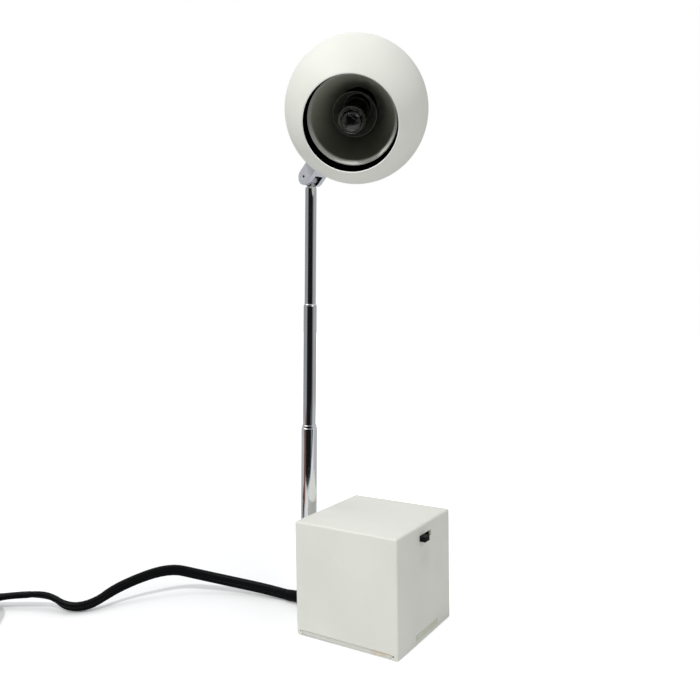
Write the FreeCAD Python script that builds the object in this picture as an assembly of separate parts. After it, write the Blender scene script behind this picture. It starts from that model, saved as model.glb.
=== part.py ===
import FreeCAD, Part
import math
import os

# Tabletop searchlight lamp: a cube base with the transformer, a three-section
# telescoping arm on a knuckle behind it, and a ball head on a second knuckle.
# Frame: millimetres, +Z up, origin at the centre of the rest pad's underside.
# The switch face looks along -Y, and the arm stands behind the cube at +Y.

Vector = FreeCAD.Vector
Placement = FreeCAD.Placement
Rotation = FreeCAD.Rotation

os.makedirs("parts", exist_ok=True)

# ---- clearances ----
RUN = 0.05            # running fit, radial, of tubes, pins and sleeves
GAP = 0.3             # free gap between parts that pass each other
SEAT = 0.1            # easy fit of a loose sheet part in its recess

# ---- base cube ----
CUBE = 76.2           # side of the cube
WALL = 1.2            # steel wall of the housing
EDGE_R = 1.4          # rounding of the housing's outer edges
HOUSING_Z = 0.4       # the housing's lower edge above the table
PAD_T = 0.8           # rest pad
PAD_SIZE = 66.0
PLATE_T = 1.2         # bottom plate
PLATE_FIT = 0.4       # plate to inner wall
FLANGE_TOP = 3.3      # top of the plate's side flanges
FLANGE_HALF = 33.3    # half length of a side flange
RELIEF_R = 0.7        # relief holes beside the flanges
TAB_SIZE = 9.0        # corner tabs that take the plate screws
TAB_T = 2.0
SCREW_R = 1.5         # thread radius of the small screws
HEAD_R = 2.7          # screw head radius
HEAD_T = 1.8          # screw head height

# ---- name strip, left bare ----
STRIP_X0 = -13.2
STRIP_LENGTH = 31.0
STRIP_Z0 = 2.8
STRIP_HEIGHT = 3.7
STRIP_T = 0.2

# ---- transformer ----
WINDOW_W = 8.0        # width of each window of the core
CORE_H = 40.0
CORE_STACK = 22.0
CORE_LEG = 8.0        # outer legs and yokes; the centre leg is twice this
LEAD_IN = 6.0         # leads from the window's ends
CORE_Y = -4.0
BOBBIN_T = 1.0
WINDOW_SPARE = 1.0    # free width of a window beside the windings
FLANGE_OUT = 0.5      # bobbin flanges beyond the windings
STRAP_T = 1.0
STRAP_W = 20.0
STRAP_FOOT = 9.0

# ---- slide switch ----
SLOT_X0 = -7.4
SLOT_X1 = 8.8
SLOT_Z0 = 65.9
SLOT_Z1 = 69.7
KNOB_W = 5.9
KNOB_OUT = 4.2        # how far the knob stands out of the face
KNOB_DEPTH = 3.2      # its tail behind the switch plate
SWITCH_PLATE_T = 0.8
SWITCH_BODY_D = 10.0

# ---- knuckles: the same yoke section at both ends of the arm ----
YOKE_W = 14.0         # across the cheeks
YOKE_NOSE = 5.7       # nose radius, and half the cheek's width
YOKE_SLOT = 6.4       # slot between the cheeks
SLOT_FLOOR = 5.8      # pin to the slot's floor
FOOT_SLOT_FLOOR = 7.4   # deeper, for the arm's forward lean
PIN_R = 1.8
PIN_RECESS = 0.2
DIMPLE_R = 0.9
DIMPLE_D = 1.0
TONGUE_T = 5.6        # tongue that swings in the slot
CHEEK_FILLET = 0.8

# ---- arm ----
FOOT_Y = 55.4         # lower pin
FOOT_Z = 22.0
ARM_LEAN = 1.8        # degrees from upright, towards the switch face
FOOT_TONGUE_R = 5.0
FOOT_COLLAR_Z = 8.0   # collar under the lower tube
LOWER_Z0 = 9.0        # lower tube, along the arm from the lower pin
LOWER_Z1 = 111.45
MIDDLE_Z1 = 196.45    # top of the middle tube, drawn out
HEAD_PIN_Z = 283.3    # upper pin, drawn out
LOWER_R = 5.8
LOWER_WALL = 0.6
MIDDLE_R = 4.6
MIDDLE_WALL = 0.3
UPPER_R = 3.95
UPPER_WALL = 0.5
ENGAGED = 10.5        # how far each section stays inside the one below
ROLL = 1.5            # height of a rolled tube mouth
LIP_R = 5.25          # lip of the lower tube, above a groove
LIP_H = 1.3
LIP_GROOVE_R = 4.95
LIP_GROOVE_H = 0.7
SLEEVE_L = 5.8        # friction sleeves
BEAD_H = 0.5
LUG_R = 4.4           # round end of the top lug
LUG_GAP = 6.0         # upper pin to the end of the upper tube
MIDDLE_TRAVEL = 84.0
UPPER_TRAVEL = 80.0
PLUG_L = 5.5          # tube plugs of the foot

# ---- sliding contacts inside the arm ----
ROD_R = 1.2
CONTACT_WALL = 0.5
CONTACT_GAP = 0.25
CONTACT_END = 2.5     # ends of the contacts inside their tubes

# ---- head ----
SWIVEL = 12.0         # turn of the upper tube towards -X
HEAD_TILT = 48.2      # stem from the arm's line, forwards
PIN_TO_SEAT = 11.2    # upper pin to the ball's surface
BALL_R = 46.0
BALL_WALL = 0.8
BALL_TURN = -45.7     # ball about its stem
STEM_TO_MOUTH = 84.0  # stem line to mouth axis
MOUTH_ANGLE = 39.9    # half angle of the mouth, seen from the ball's centre
SEAT_WASHER_T = 0.5
SEAT_WASHER_R = 5.6
NIPPLE_R = 3.0
NIPPLE_BORE = 1.6
NIPPLE_IN = 5.2       # nipple inside the ball
NUT_T = 2.6
NUT_ACROSS = 10.0

# ---- reflector and lamp, along the mouth axis from the ball's centre ----
CUP_RIM_R = 27.1
CUP_RIM_H = 26.0
CUP_BACK_R = 12.0
CUP_BACK_DEPTH = 12.0 # depths are behind the ball's centre
CUP_WALL = 0.7
CUP_POINTS = 7
BAFFLE_RIM_R = 14.1
BAFFLE_RIM_H = 10.5
BAFFLE_BACK_R = 10.2
BAFFLE_BACK_DEPTH = 9.0
BAFFLE_WALL = 0.6
SOCKET_R = 8.4
SOCKET_WALL = 0.6
SOCKET_DEPTH = 27.0
SOCKET_H1 = 0.0
SOCKET_SLOT_H = 7.0   # slots in the socket's rim
SOCKET_SLOT_W = 2.2
LEAD_DROP = 5.0       # of the leads behind the socket before they bend
SOCKET_FLOOR_T = 1.0
BULB_BASE_R = 7.6
BULB_BASE_L = 16.0
BULB_SEAT_DEPTH = 1.0
BULB_TIP_L = 0.8      # solder tip under the base
BULB_TIP_R = 1.6
BULB_PIN_R = 0.9
INSULATOR_T = 3.0
PLUNGER_H = 2.2       # contact plunger, below the bulb's tip
PLUNGER_R = 1.8
PLUNGER_DISC_T = 1.2
SPRING_T = 0.4
SPRING_R0 = 5.0
SPRING_R1 = 2.2
GLASS_R = 8.75        # the globe
GLASS_NECK_R = 6.9
GLASS_WALL = 0.5
GLASS_TIP = 34.3
GLASS_IN_BASE = 4.0   # of the neck inside the base
NECK_OUT = 1.0        # from the base's top to where the neck starts to widen
EXHAUST_TIP = 7.0     # of the stem, above the base
EXHAUST_R = 1.6
GLOBE_ANGLE = 38.0    # below the globe's middle, where the neck meets it
FILAMENT_H = 19.0
FILAMENT_HALF = 3.2
POST_R = 0.4
FILAMENT_R = 0.3
POST_R2 = 3.0         # standoff behind the socket
CARRIER_T = 0.8
CARRIER_R = 13.6

# ---- cord ----
CORD_R = 3.5
CORD_Z = 7.0          # cord entry in the back wall
CORD_X = 1.5
BOOT_L = 38.0
BOOT_DROOP = 3.8      # degrees below level
BOOT_ROOT_R = 4.7
BOOT_TIP_R = 3.9
BOOT_RIBS = 9
BOOT_GROOVE = 0.5
BOOT_FLANGE_R = 4.8
BOOT_FLANGE_T = 1.5
COIL_X = -166.0
COIL_Y = 262.0
COIL_MEAN_R = 38.0
COLUMN = 8.1          # turns beside each other
LAYER = 4.6           # turns on each other; the flat cord lies flat
COIL_IN_ANGLE = 25.0
COIL_OUT_ANGLE = 200.0
TIE_ANGLE = -60.0
TIE_W = 8.0
TIE_T = 0.9
TAIL_L = 34.0
PLUG_W = 26.0
PLUG_T = 12.0
PLUG_LEN = 24.0
PLUG_BOOT = 12.0
BLADE_GAP = 12.7
BLADE_L = 16.0
BLADE_W = 6.3
BLADE_T = 1.5

# the cord's free route, from the boot's tip to the coil
CORD_ROUTE = [
    (1.5, 75.95, 4.45),
    (-1.3, 95.0, 6.0),
    (-8.7, 119.8, 9.1),
    (-20.1, 144.5, 14.0),
    (-32.8, 163.0, 19.9),
    (-63.0, 182.1, 12.5),
    (-85.0, 186.9, 3.9),
    (-96.3, 199.2, 3.9),
    (-97.3, 216.7, 11.2),
    (-109.5, 241.5, 9.5),
    (-116.8, 255.1, 6.9),
]

HALF = CUBE / 2
INNER = HALF - WALL
PLATE_Z1 = PAD_T + PLATE_T
BACK_FACE = HALF
MIDDLE_Z0 = LOWER_Z1 - ENGAGED
UPPER_Z0 = MIDDLE_Z1 - ENGAGED + 0.4
UPPER_Z1 = HEAD_PIN_Z - LUG_GAP
LOWER_BORE = LOWER_R - LOWER_WALL
MIDDLE_BORE = MIDDLE_R - MIDDLE_WALL
UPPER_BORE = UPPER_R - UPPER_WALL
BALL_BORE = BALL_R - BALL_WALL
PIN_TO_BALL = BALL_R + PIN_TO_SEAT
CUP_BACK_H = -CUP_BACK_DEPTH
BAFFLE_BACK_H = -BAFFLE_BACK_DEPTH
SOCKET_H0 = -SOCKET_DEPTH
BULB_BASE_TOP = -BULB_SEAT_DEPTH
FAR = 100.0           # reach of cuts that go right through
X_AXIS = Vector(1, 0, 0)
Z_AXIS = Vector(0, 0, 1)


# ---- shape helpers ----
def box(x0, x1, y0, y1, z0, z1):
    return Part.makeBox(x1 - x0, y1 - y0, z1 - z0, Vector(x0, y0, z0))


def rod(radius, z0, z1, x=0.0, y=0.0):
    return Part.makeCylinder(radius, z1 - z0, Vector(x, y, z0))


def cross_rod(radius, x0, x1, z=0.0):
    """A rod along X at height z."""
    return Part.makeCylinder(radius, x1 - x0, Vector(x0, 0, z), X_AXIS)


def ring(outer, inner, z0, z1):
    return rod(outer, z0, z1).cut(rod(inner, z0 - 1, z1 + 1))


def lathe(points):
    """Turn a closed outline of (radius, height) points about Z."""
    corners = [Vector(r, 0, h) for r, h in points]
    outline = Part.makePolygon(corners + corners[:1])
    return Part.Face(outline).revolve(Vector(0, 0, 0), Z_AXIS, 360)


def sphere_cap(outer, inner, angle, hole):
    """Part of a hollow sphere about -Z within a half angle, with a round hole."""
    shell = Part.makeSphere(outer).cut(Part.makeSphere(inner))
    keep = rod(outer * math.sin(math.radians(angle)), -outer - 1, 0)
    return shell.common(keep).cut(rod(hole, -outer - 2, 1))


def hexagon(across, z0, z1):
    radius = across / math.sqrt(3)
    steps = [math.radians(60 * i) for i in range(7)]
    corners = [Vector(radius * math.cos(a), radius * math.sin(a), z0) for a in steps]
    return Part.Face(Part.makePolygon(corners)).extrude(Vector(0, 0, z1 - z0))


def screw(length, slot=True):
    """A pan-head screw: head below z = 0, thread up to z = length."""
    body = rod(HEAD_R, -HEAD_T, 0).fuse(rod(SCREW_R, -0.2, length))
    if slot:
        cut = box(-HEAD_R, HEAD_R, -0.4, 0.4, -HEAD_T - 1, -HEAD_T + 0.7)
        body = body.cut(cut)
    return body.removeSplitter()


def between(radius, start, end):
    """A straight rod between two points."""
    line = end.sub(start)
    return Part.makeCylinder(radius, line.Length, start, line)


def bent_path(points):
    """Straight runs joined by tangent arcs as large as the runs allow."""
    corners = [Vector(*p) for p in points]
    edges = []
    radii = []
    here = corners[0]
    for before, corner, after in zip(corners, corners[1:], corners[2:]):
        into = corner.sub(before)
        out = after.sub(corner)
        reach = 0.45 * min(into.Length, out.Length)
        into.normalize()
        out.normalize()
        turn = into.getAngle(out)
        radius = reach / math.tan(turn / 2)
        inward = out.sub(into)
        inward.normalize()
        centre = corner.add(inward.multiply(radius / math.cos(turn / 2)))
        middle = corner.sub(centre)
        middle.normalize()
        start = corner.sub(Vector(into).multiply(reach))
        end = corner.add(Vector(out).multiply(reach))
        middle = centre.add(middle.multiply(radius))
        edges.append(Part.LineSegment(here, start).toShape())
        edges.append(Part.Arc(start, middle, end).toShape())
        here = end
        radii.append(radius)
    edges.append(Part.LineSegment(here, corners[-1]).toShape())
    return Part.Wire(edges), radii


def bent_rod(points, radius):
    path, radii = bent_path(points)
    start = Vector(*points[0])
    along = Vector(*points[1]).sub(start)
    section = Part.Wire(Part.makeCircle(radius, start, along))
    return path.makePipeShell([section], True, False), path.Length, radii


# ---- frames ----
def turn_about(axis, degrees, at=(0, 0, 0)):
    return Placement(Vector(*at), Rotation(axis, degrees))


ARM = turn_about(X_AXIS, ARM_LEAN, (0, FOOT_Y, FOOT_Z))
UPPER = ARM.multiply(turn_about(Z_AXIS, -SWIVEL))
STEM = UPPER.multiply(turn_about(X_AXIS, HEAD_TILT, (0, 0, HEAD_PIN_Z)))
BALL = STEM.multiply(turn_about(Z_AXIS, BALL_TURN, (0, 0, PIN_TO_BALL)))
MOUTH = BALL.multiply(turn_about(X_AXIS, STEM_TO_MOUTH))
FOOT_YOKE = turn_about(X_AXIS, 90, (0, FOOT_Y, FOOT_Z))
BOOT = turn_about(X_AXIS, -90 - BOOT_DROOP, (CORD_X, BACK_FACE, CORD_Z))


def put(shape, frame):
    return shape.transformed(frame.toMatrix(), True)


def save(name, *solids):
    """Write one node; several solids in it stay separate solids."""
    parts = []
    for solid in solids:
        parts.extend(solid.Solids)
    shape = parts[0] if len(parts) == 1 else Part.makeCompound(parts)
    if not shape.isValid():
        raise ValueError(name + " is not a valid shape")
    shape.exportStep("parts/" + name + ".step")
    print("%-24s %2d solid %10.1f mm3" % (name, len(parts), shape.Volume))


# ---- base cube ----
def corner_signs():
    return [(sx, sy) for sx in (-1, 1) for sy in (-1, 1)]


def base_housing():
    outer = box(-HALF, HALF, -HALF, HALF, HOUSING_Z, CUBE)
    round_edges = [e for e in outer.Edges if e.BoundBox.ZMax > HOUSING_Z + 1]
    outer = outer.makeFillet(EDGE_R, round_edges)
    shell = outer.cut(box(-INNER, INNER, -INNER, INNER, -1, CUBE - WALL))
    for sx, sy in corner_signs():
        x = sorted((sx * (INNER - TAB_SIZE), sx * INNER))
        y = sorted((sy * (INNER - TAB_SIZE), sy * INNER))
        tab = box(x[0], x[1], y[0], y[1], PLATE_Z1, PLATE_Z1 + TAB_T)
        at = sx * (INNER - TAB_SIZE / 2), sy * (INNER - TAB_SIZE / 2)
        shell = shell.fuse(tab).cut(rod(SCREW_R, 0, 10, at[0], at[1]))
        relief = Part.makeCylinder(
            RELIEF_R, 2 * WALL,
            Vector(sx * HALF - WALL, sy * (FLANGE_HALF + 1.6), FLANGE_TOP - 0.6), X_AXIS)
        shell = shell.cut(relief)
    notch = FLANGE_HALF + GAP
    shell = shell.cut(box(-HALF - 1, HALF + 1, -notch, notch, -1, FLANGE_TOP + GAP))
    shell = shell.cut(box(SLOT_X0, SLOT_X1, -HALF - 1, -INNER + 1, SLOT_Z0, SLOT_Z1))
    boot_hole = Part.makeCylinder(
        BOOT_ROOT_R - 0.5 + SEAT, 4, Vector(CORD_X, INNER - 1, CORD_Z), Vector(0, 1, 0))
    shell = shell.cut(boot_hole)
    for x in YOKE_SCREW_X:
        hole = Part.makeCylinder(
            SCREW_R + SEAT, 4, Vector(x, INNER - 1, FOOT_Z), Vector(0, 1, 0))
        shell = shell.cut(hole)
    return shell.removeSplitter()


YOKE_SCREW_X = (-3.9, 3.9)


def base_plate():
    half = INNER - PLATE_FIT
    plate = box(-half, half, -half, half, PAD_T, PLATE_Z1)
    for side in (-1, 1):
        x = sorted((side * (half - 1), side * HALF))
        plate = plate.fuse(box(x[0], x[1], -FLANGE_HALF, FLANGE_HALF, PAD_T, PLATE_Z1))
        x = sorted((side * (HALF - WALL + SEAT), side * HALF))
        flange = box(x[0], x[1], -FLANGE_HALF, FLANGE_HALF, PAD_T, FLANGE_TOP)
        plate = plate.fuse(flange)
    for sx, sy in corner_signs():
        at = sx * (INNER - TAB_SIZE / 2), sy * (INNER - TAB_SIZE / 2)
        plate = plate.cut(rod(SCREW_R + SEAT, 0, 10, at[0], at[1]))
    for side in (-1, 1):
        plate = plate.cut(rod(SCREW_R, 0, 10, side * STRAP_SCREW_X, CORE_Y))
    return plate.removeSplitter()


def base_pad():
    half = PAD_SIZE / 2
    pad = box(-half, half, -half, half, 0, PAD_T)
    upright = [e for e in pad.Edges if e.BoundBox.ZLength > PAD_T / 2]
    pad = pad.makeFillet(HEAD_R, upright)
    for sx, sy in corner_signs():
        at = sx * (INNER - TAB_SIZE / 2), sy * (INNER - TAB_SIZE / 2)
        pad = pad.cut(rod(HEAD_R + GAP, -1, 5, at[0], at[1]))
    return pad


def plate_screws():
    thin_head = PAD_T - 0.2
    solids = []
    for sx, sy in corner_signs():
        at = sx * (INNER - TAB_SIZE / 2), sy * (INNER - TAB_SIZE / 2)
        head = rod(HEAD_R, PAD_T - thin_head, PAD_T, at[0], at[1])
        thread = rod(SCREW_R, PAD_T - 0.1, PLATE_Z1 + TAB_T + 1, at[0], at[1])
        solids.append(head.fuse(thread).removeSplitter())
    return solids


def label_strip():
    return box(STRIP_X0, STRIP_X0 + STRIP_LENGTH, -HALF - STRIP_T, -HALF,
               STRIP_Z0, STRIP_Z0 + STRIP_HEIGHT)


# ---- transformer ----
CORE_Z0 = PLATE_Z1
CORE_W = 4 * CORE_LEG + 2 * WINDOW_W
STRAP_SCREW_X = CORE_W / 2 + STRAP_T + STRAP_FOOT / 2
COIL_OUT = WINDOW_W - WINDOW_SPARE
WINDOW_H = CORE_H - 2 * CORE_LEG
BOBBIN_Z0 = CORE_Z0 + CORE_LEG
LEG_X = CORE_LEG
STACK_Y0 = CORE_Y - CORE_STACK / 2
STACK_Y1 = CORE_Y + CORE_STACK / 2


def transformer_core():
    core = box(-CORE_W / 2, CORE_W / 2, STACK_Y0, STACK_Y1, CORE_Z0, CORE_Z0 + CORE_H)
    for side in (-1, 1):
        x = sorted((side * CORE_LEG, side * (CORE_W / 2 - CORE_LEG)))
        core = core.cut(box(x[0], x[1], STACK_Y0 - 1, STACK_Y1 + 1,
                            BOBBIN_Z0, BOBBIN_Z0 + WINDOW_H))
    return core


def around_leg(outset, z0, z1, inset):
    """A square tube about the centre leg, from inset to outset beyond it."""
    outer = box(-LEG_X - outset, LEG_X + outset, STACK_Y0 - outset, STACK_Y1 + outset, z0, z1)
    inner = box(-LEG_X - inset, LEG_X + inset, STACK_Y0 - inset, STACK_Y1 + inset,
                z0 - 1, z1 + 1)
    return outer.cut(inner)


def bobbin():
    top = BOBBIN_Z0 + WINDOW_H
    middle = (BOBBIN_Z0 + top) / 2
    shape = around_leg(BOBBIN_T + SEAT, BOBBIN_Z0 + SEAT, top - SEAT, SEAT)
    for z0 in (BOBBIN_Z0 + SEAT, middle - BOBBIN_T / 2, top - SEAT - BOBBIN_T):
        shape = shape.fuse(around_leg(COIL_OUT + FLANGE_OUT, z0, z0 + BOBBIN_T, SEAT))
    return shape.removeSplitter()


def winding(lower):
    top = BOBBIN_Z0 + WINDOW_H
    middle = (BOBBIN_Z0 + top) / 2
    if lower:
        z0, z1 = BOBBIN_Z0 + SEAT + BOBBIN_T, middle - BOBBIN_T / 2
    else:
        z0, z1 = middle + BOBBIN_T / 2, top - SEAT - BOBBIN_T
    shape = around_leg(COIL_OUT, z0, z1, BOBBIN_T + SEAT)
    outer = LEG_X + COIL_OUT
    upright = [e for e in shape.Edges
               if e.BoundBox.ZLength > 1 and abs(abs(e.CenterOfMass.x) - outer) < 0.01]
    return shape.makeFillet(3.0, upright)


def transformer_strap():
    x = CORE_W / 2
    y0, y1 = CORE_Y - STRAP_W / 2, CORE_Y + STRAP_W / 2
    top = CORE_Z0 + CORE_H
    strap = box(-x - STRAP_T, x + STRAP_T, y0, y1, top, top + STRAP_T)
    for side in (-1, 1):
        leg = sorted((side * x, side * (x + STRAP_T)))
        strap = strap.fuse(box(leg[0], leg[1], y0, y1, CORE_Z0, top))
        foot = sorted((side * x, side * (x + STRAP_T + STRAP_FOOT)))
        strap = strap.fuse(box(foot[0], foot[1], y0, y1, CORE_Z0, CORE_Z0 + STRAP_T))
        strap = strap.cut(rod(SCREW_R + SEAT, 0, 10, side * STRAP_SCREW_X, CORE_Y))
    return strap.removeSplitter()


def strap_screws():
    solids = []
    length = STRAP_T + PLATE_T
    for side in (-1, 1):
        at = (side * STRAP_SCREW_X, CORE_Y, CORE_Z0 + STRAP_T)
        solids.append(put(screw(length), turn_about(X_AXIS, 180, at)))
    return solids


# ---- switch ----
def switch_plate():
    plate = box(SLOT_X0 - 6, SLOT_X1 + 6, -INNER, -INNER + SWITCH_PLATE_T,
                SLOT_Z0 - 3, SLOT_Z1 + 3)
    return plate.cut(box(SLOT_X0, SLOT_X1, -INNER - 1, 0, SLOT_Z0, SLOT_Z1))


def switch_body():
    y0 = -INNER + SWITCH_PLATE_T
    body = box(SLOT_X0 - 3, SLOT_X1 + 3, y0, y0 + SWITCH_BODY_D, SLOT_Z0 - 2, SLOT_Z1 + 2)
    groove = box(SLOT_X0, SLOT_X1, y0 - 1, y0 + KNOB_DEPTH + GAP, SLOT_Z0, SLOT_Z1)
    return body.cut(groove)


def switch_terminals():
    y0 = -INNER + SWITCH_PLATE_T + SWITCH_BODY_D
    middle = (SLOT_X0 + SLOT_X1) / 2
    z = (SLOT_Z0 + SLOT_Z1) / 2
    return [box(middle + dx - 1, middle + dx + 1, y0, y0 + 4, z - 0.4, z + 0.4)
            for dx in (-5, 0, 5)]


def switch_knob():
    x0 = SLOT_X0 + 0.2
    knob = box(x0, x0 + KNOB_W, -HALF - KNOB_OUT, -INNER + SWITCH_PLATE_T + KNOB_DEPTH,
               SLOT_Z0 + 0.2, SLOT_Z1 - 0.2)
    front = [e for e in knob.Edges if e.CenterOfMass.y < -HALF - KNOB_OUT + 0.01]
    return knob.makeFillet(0.4, front)


# ---- knuckles ----
def yoke(standoff, floor):
    """A cheeked yoke: pin on X at the origin, root towards +Z at the standoff."""
    half = YOKE_W / 2
    block = box(-half, half, -YOKE_NOSE, YOKE_NOSE, 0, standoff)
    block = block.fuse(cross_rod(YOKE_NOSE, -half, half)).removeSplitter()
    faces = [f for f in block.Faces if f.BoundBox.XLength < 0.01]
    rims = []
    for face in faces:
        rims.extend([e for e in face.Edges if e.CenterOfMass.z < standoff - 0.01])
    block = block.makeFillet(CHEEK_FILLET, rims)
    slot = YOKE_SLOT / 2
    block = block.cut(box(-slot, slot, -FAR, FAR, -FAR, floor))
    return block.cut(cross_rod(PIN_R, -FAR, FAR))


def knuckle_pin():
    half = YOKE_W / 2 - PIN_RECESS
    pin = cross_rod(PIN_R, -half, half)
    for side in (-1, 1):
        x = sorted((side * (half - DIMPLE_D), side * (half + 1)))
        pin = pin.cut(cross_rod(DIMPLE_R, x[0], x[1]))
    return pin


def knuckle_washers(tongue_r):
    """Two thin friction washers between a tongue and the cheeks."""
    x0 = TONGUE_T / 2 + 0.02
    x1 = YOKE_SLOT / 2 - 0.02
    solids = []
    for side in (-1, 1):
        x = sorted((side * x0, side * x1))
        washer = cross_rod(tongue_r - 0.2, x[0], x[1])
        solids.append(washer.cut(cross_rod(PIN_R + 0.1, x[0] - 1, x[1] + 1)))
    return solids


def foot_yoke():
    root = FOOT_Y - BACK_FACE
    shape = yoke(root, FOOT_SLOT_FLOOR)
    for x in YOKE_SCREW_X:
        shape = shape.cut(rod(SCREW_R, root - 7, root + 1, x))
    return shape


def foot_yoke_screws():
    length = WALL + 5.5
    solids = []
    for x in YOKE_SCREW_X:
        at = (x, INNER, FOOT_Z)
        solids.append(put(screw(length), turn_about(X_AXIS, -90, at)))
    return solids


def head_yoke():
    seat = BALL_R + 2 * RUN + SEAT_WASHER_T
    shape = yoke(PIN_TO_SEAT + 4, SLOT_FLOOR)
    ball = Part.makeSphere(seat, Vector(0, 0, PIN_TO_BALL))
    return shape.cut(ball).cut(rod(NIPPLE_R, SLOT_FLOOR - 1, PIN_TO_BALL))


def seat_washer():
    shape = sphere_cap(BALL_R + RUN + SEAT_WASHER_T, BALL_R + RUN,
                       math.degrees(math.asin(SEAT_WASHER_R / BALL_R)), NIPPLE_R)
    shape.translate(Vector(0, 0, PIN_TO_BALL))
    return shape


def swivel_nipple():
    z0 = SLOT_FLOOR + 0.4
    z1 = PIN_TO_BALL - BALL_BORE + NIPPLE_IN
    return ring(NIPPLE_R, NIPPLE_BORE, z0, z1)


def inner_washer():
    outer = BALL_BORE - RUN
    shape = sphere_cap(outer, outer - SEAT_WASHER_T,
                       math.degrees(math.asin(SEAT_WASHER_R / BALL_R)), NIPPLE_R)
    shape.translate(Vector(0, 0, PIN_TO_BALL))
    return shape


def swivel_nut():
    washer = BALL_BORE - RUN - SEAT_WASHER_T
    z0 = PIN_TO_BALL - math.sqrt(washer ** 2 - SEAT_WASHER_R ** 2)
    return hexagon(NUT_ACROSS, z0, z0 + NUT_T).cut(rod(NIPPLE_R, z0 - 1, z0 + NUT_T + 1))


# ---- arm ----
def arm_foot():
    half = TONGUE_T / 2
    tongue = cross_rod(FOOT_TONGUE_R, -half, half)
    tongue = tongue.fuse(box(-half, half, -FOOT_TONGUE_R, FOOT_TONGUE_R, 0, FOOT_COLLAR_Z))
    foot = tongue.fuse(rod(LOWER_R, FOOT_COLLAR_Z, LOWER_Z0))
    foot = foot.fuse(rod(LOWER_BORE - RUN, LOWER_Z0 - 0.1, LOWER_Z0 + PLUG_L))
    foot = foot.cut(rod(FOOT_INSULATOR_R, LOWER_Z0, LOWER_Z0 + PLUG_L + 1))
    return foot.cut(cross_rod(PIN_R + RUN, -20, 20)).removeSplitter()


FOOT_INSULATOR_R = 3.2


def foot_insulator():
    return ring(FOOT_INSULATOR_R, ROD_R, LOWER_Z0, LOWER_Z0 + PLUG_L)


def lower_tube():
    """The upper mouth is drawn in to a lip above a groove."""
    mouth = MIDDLE_R + RUN
    z1 = LOWER_Z1
    z2 = z1 - LIP_H
    z3 = z2 - LIP_GROOVE_H
    return lathe([
        (LOWER_BORE, LOWER_Z0), (LOWER_R, LOWER_Z0), (LOWER_R, z3 - 0.3),
        (LOWER_R - 0.3, z3), (LIP_GROOVE_R, z3), (LIP_GROOVE_R, z2), (LIP_R, z2),
        (LIP_R, z1 - 0.25), (LIP_R - 0.25, z1), (mouth, z1),
        (mouth, z3 - 0.3), (LOWER_BORE, z3 - 0.9),
    ])


def beads(shape, radius, bead_r, z0):
    """Raised beads that hold a friction sleeve above and below it."""
    for z in (z0, z0 + BEAD_H + SLEEVE_L + 2 * RUN):
        shape = shape.fuse(ring(bead_r, radius - 0.1, z, z + BEAD_H))
    return shape.removeSplitter()


def middle_tube():
    mouth = UPPER_R + RUN
    z1 = MIDDLE_Z1
    tube = lathe([
        (MIDDLE_BORE, MIDDLE_Z0), (MIDDLE_R, MIDDLE_Z0), (MIDDLE_R, z1 - ROLL),
        (MIDDLE_R - 0.25, z1 - 0.45), (mouth, z1),
        (mouth, z1 - 0.9), (MIDDLE_BORE, z1 - ROLL - 0.2),
    ])
    return beads(tube, MIDDLE_R, LOWER_BORE - 3 * RUN, MIDDLE_Z0)


def upper_tube():
    z1 = UPPER_Z1
    tube = lathe([
        (UPPER_BORE, UPPER_Z0), (UPPER_R, UPPER_Z0), (UPPER_R, z1 - ROLL),
        (UPPER_R - 0.25, z1 - 0.6), (UPPER_R - 0.8, z1), (LUG_NECK_R + RUN, z1),
        (LUG_NECK_R + RUN, z1 - 0.9), (UPPER_BORE, z1 - ROLL),
    ])
    return beads(tube, UPPER_R, MIDDLE_BORE - 2 * RUN, UPPER_Z0)


LUG_NECK_R = 2.8
LUG_PLUG_Z = 7.4      # lug plug below the end of the upper tube


def sleeve(inner, outer, z0):
    """A split spring sleeve."""
    shape = ring(outer, inner, z0 + BEAD_H + RUN, z0 + BEAD_H + RUN + SLEEVE_L)
    return shape.cut(box(-0.5, 0.5, 0, 20, z0 - 1, z0 + SLEEVE_L + 5))


def top_lug():
    half = TONGUE_T / 2
    end = cross_rod(LUG_R, -half, half, HEAD_PIN_Z)
    z0 = UPPER_Z1 - LUG_PLUG_Z
    lug = end.fuse(rod(LUG_NECK_R, UPPER_Z1 - ROLL - 0.1, HEAD_PIN_Z))
    lug = lug.fuse(rod(UPPER_BORE - 0.02, z0, UPPER_Z1 - ROLL - 0.1))
    lug = lug.cut(rod(LUG_BORE, z0 - 1, UPPER_Z1 - 1.4))
    return lug.cut(cross_rod(PIN_R + RUN, -20, 20, HEAD_PIN_Z)).removeSplitter()


# ---- sliding contacts ----
MIDDLE_CONTACT_R0 = ROD_R + CONTACT_GAP
MIDDLE_CONTACT_R1 = MIDDLE_CONTACT_R0 + CONTACT_WALL
UPPER_CONTACT_R0 = MIDDLE_CONTACT_R1 + CONTACT_GAP
UPPER_CONTACT_R1 = UPPER_CONTACT_R0 + CONTACT_WALL
LUG_BORE = MIDDLE_CONTACT_R1 + CONTACT_GAP


def contact_rod():
    return rod(ROD_R, LOWER_Z0 + 0.5, LOWER_Z1 - CONTACT_END)


def middle_contact():
    return ring(MIDDLE_CONTACT_R1, MIDDLE_CONTACT_R0, MIDDLE_Z0 + 0.5, MIDDLE_Z1 - 1.5)


def middle_insulator():
    return ring(MIDDLE_BORE, MIDDLE_CONTACT_R1, MIDDLE_Z0 + 0.5, MIDDLE_Z0 + 4.5)


def upper_contact():
    return ring(UPPER_CONTACT_R1, UPPER_CONTACT_R0,
                UPPER_Z0 + 1.1, UPPER_Z1 - LUG_PLUG_Z - 0.5)


def upper_insulator():
    top = UPPER_Z1 - LUG_PLUG_Z - 0.5
    return ring(UPPER_BORE, UPPER_CONTACT_R1, top - 7, top)


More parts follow.
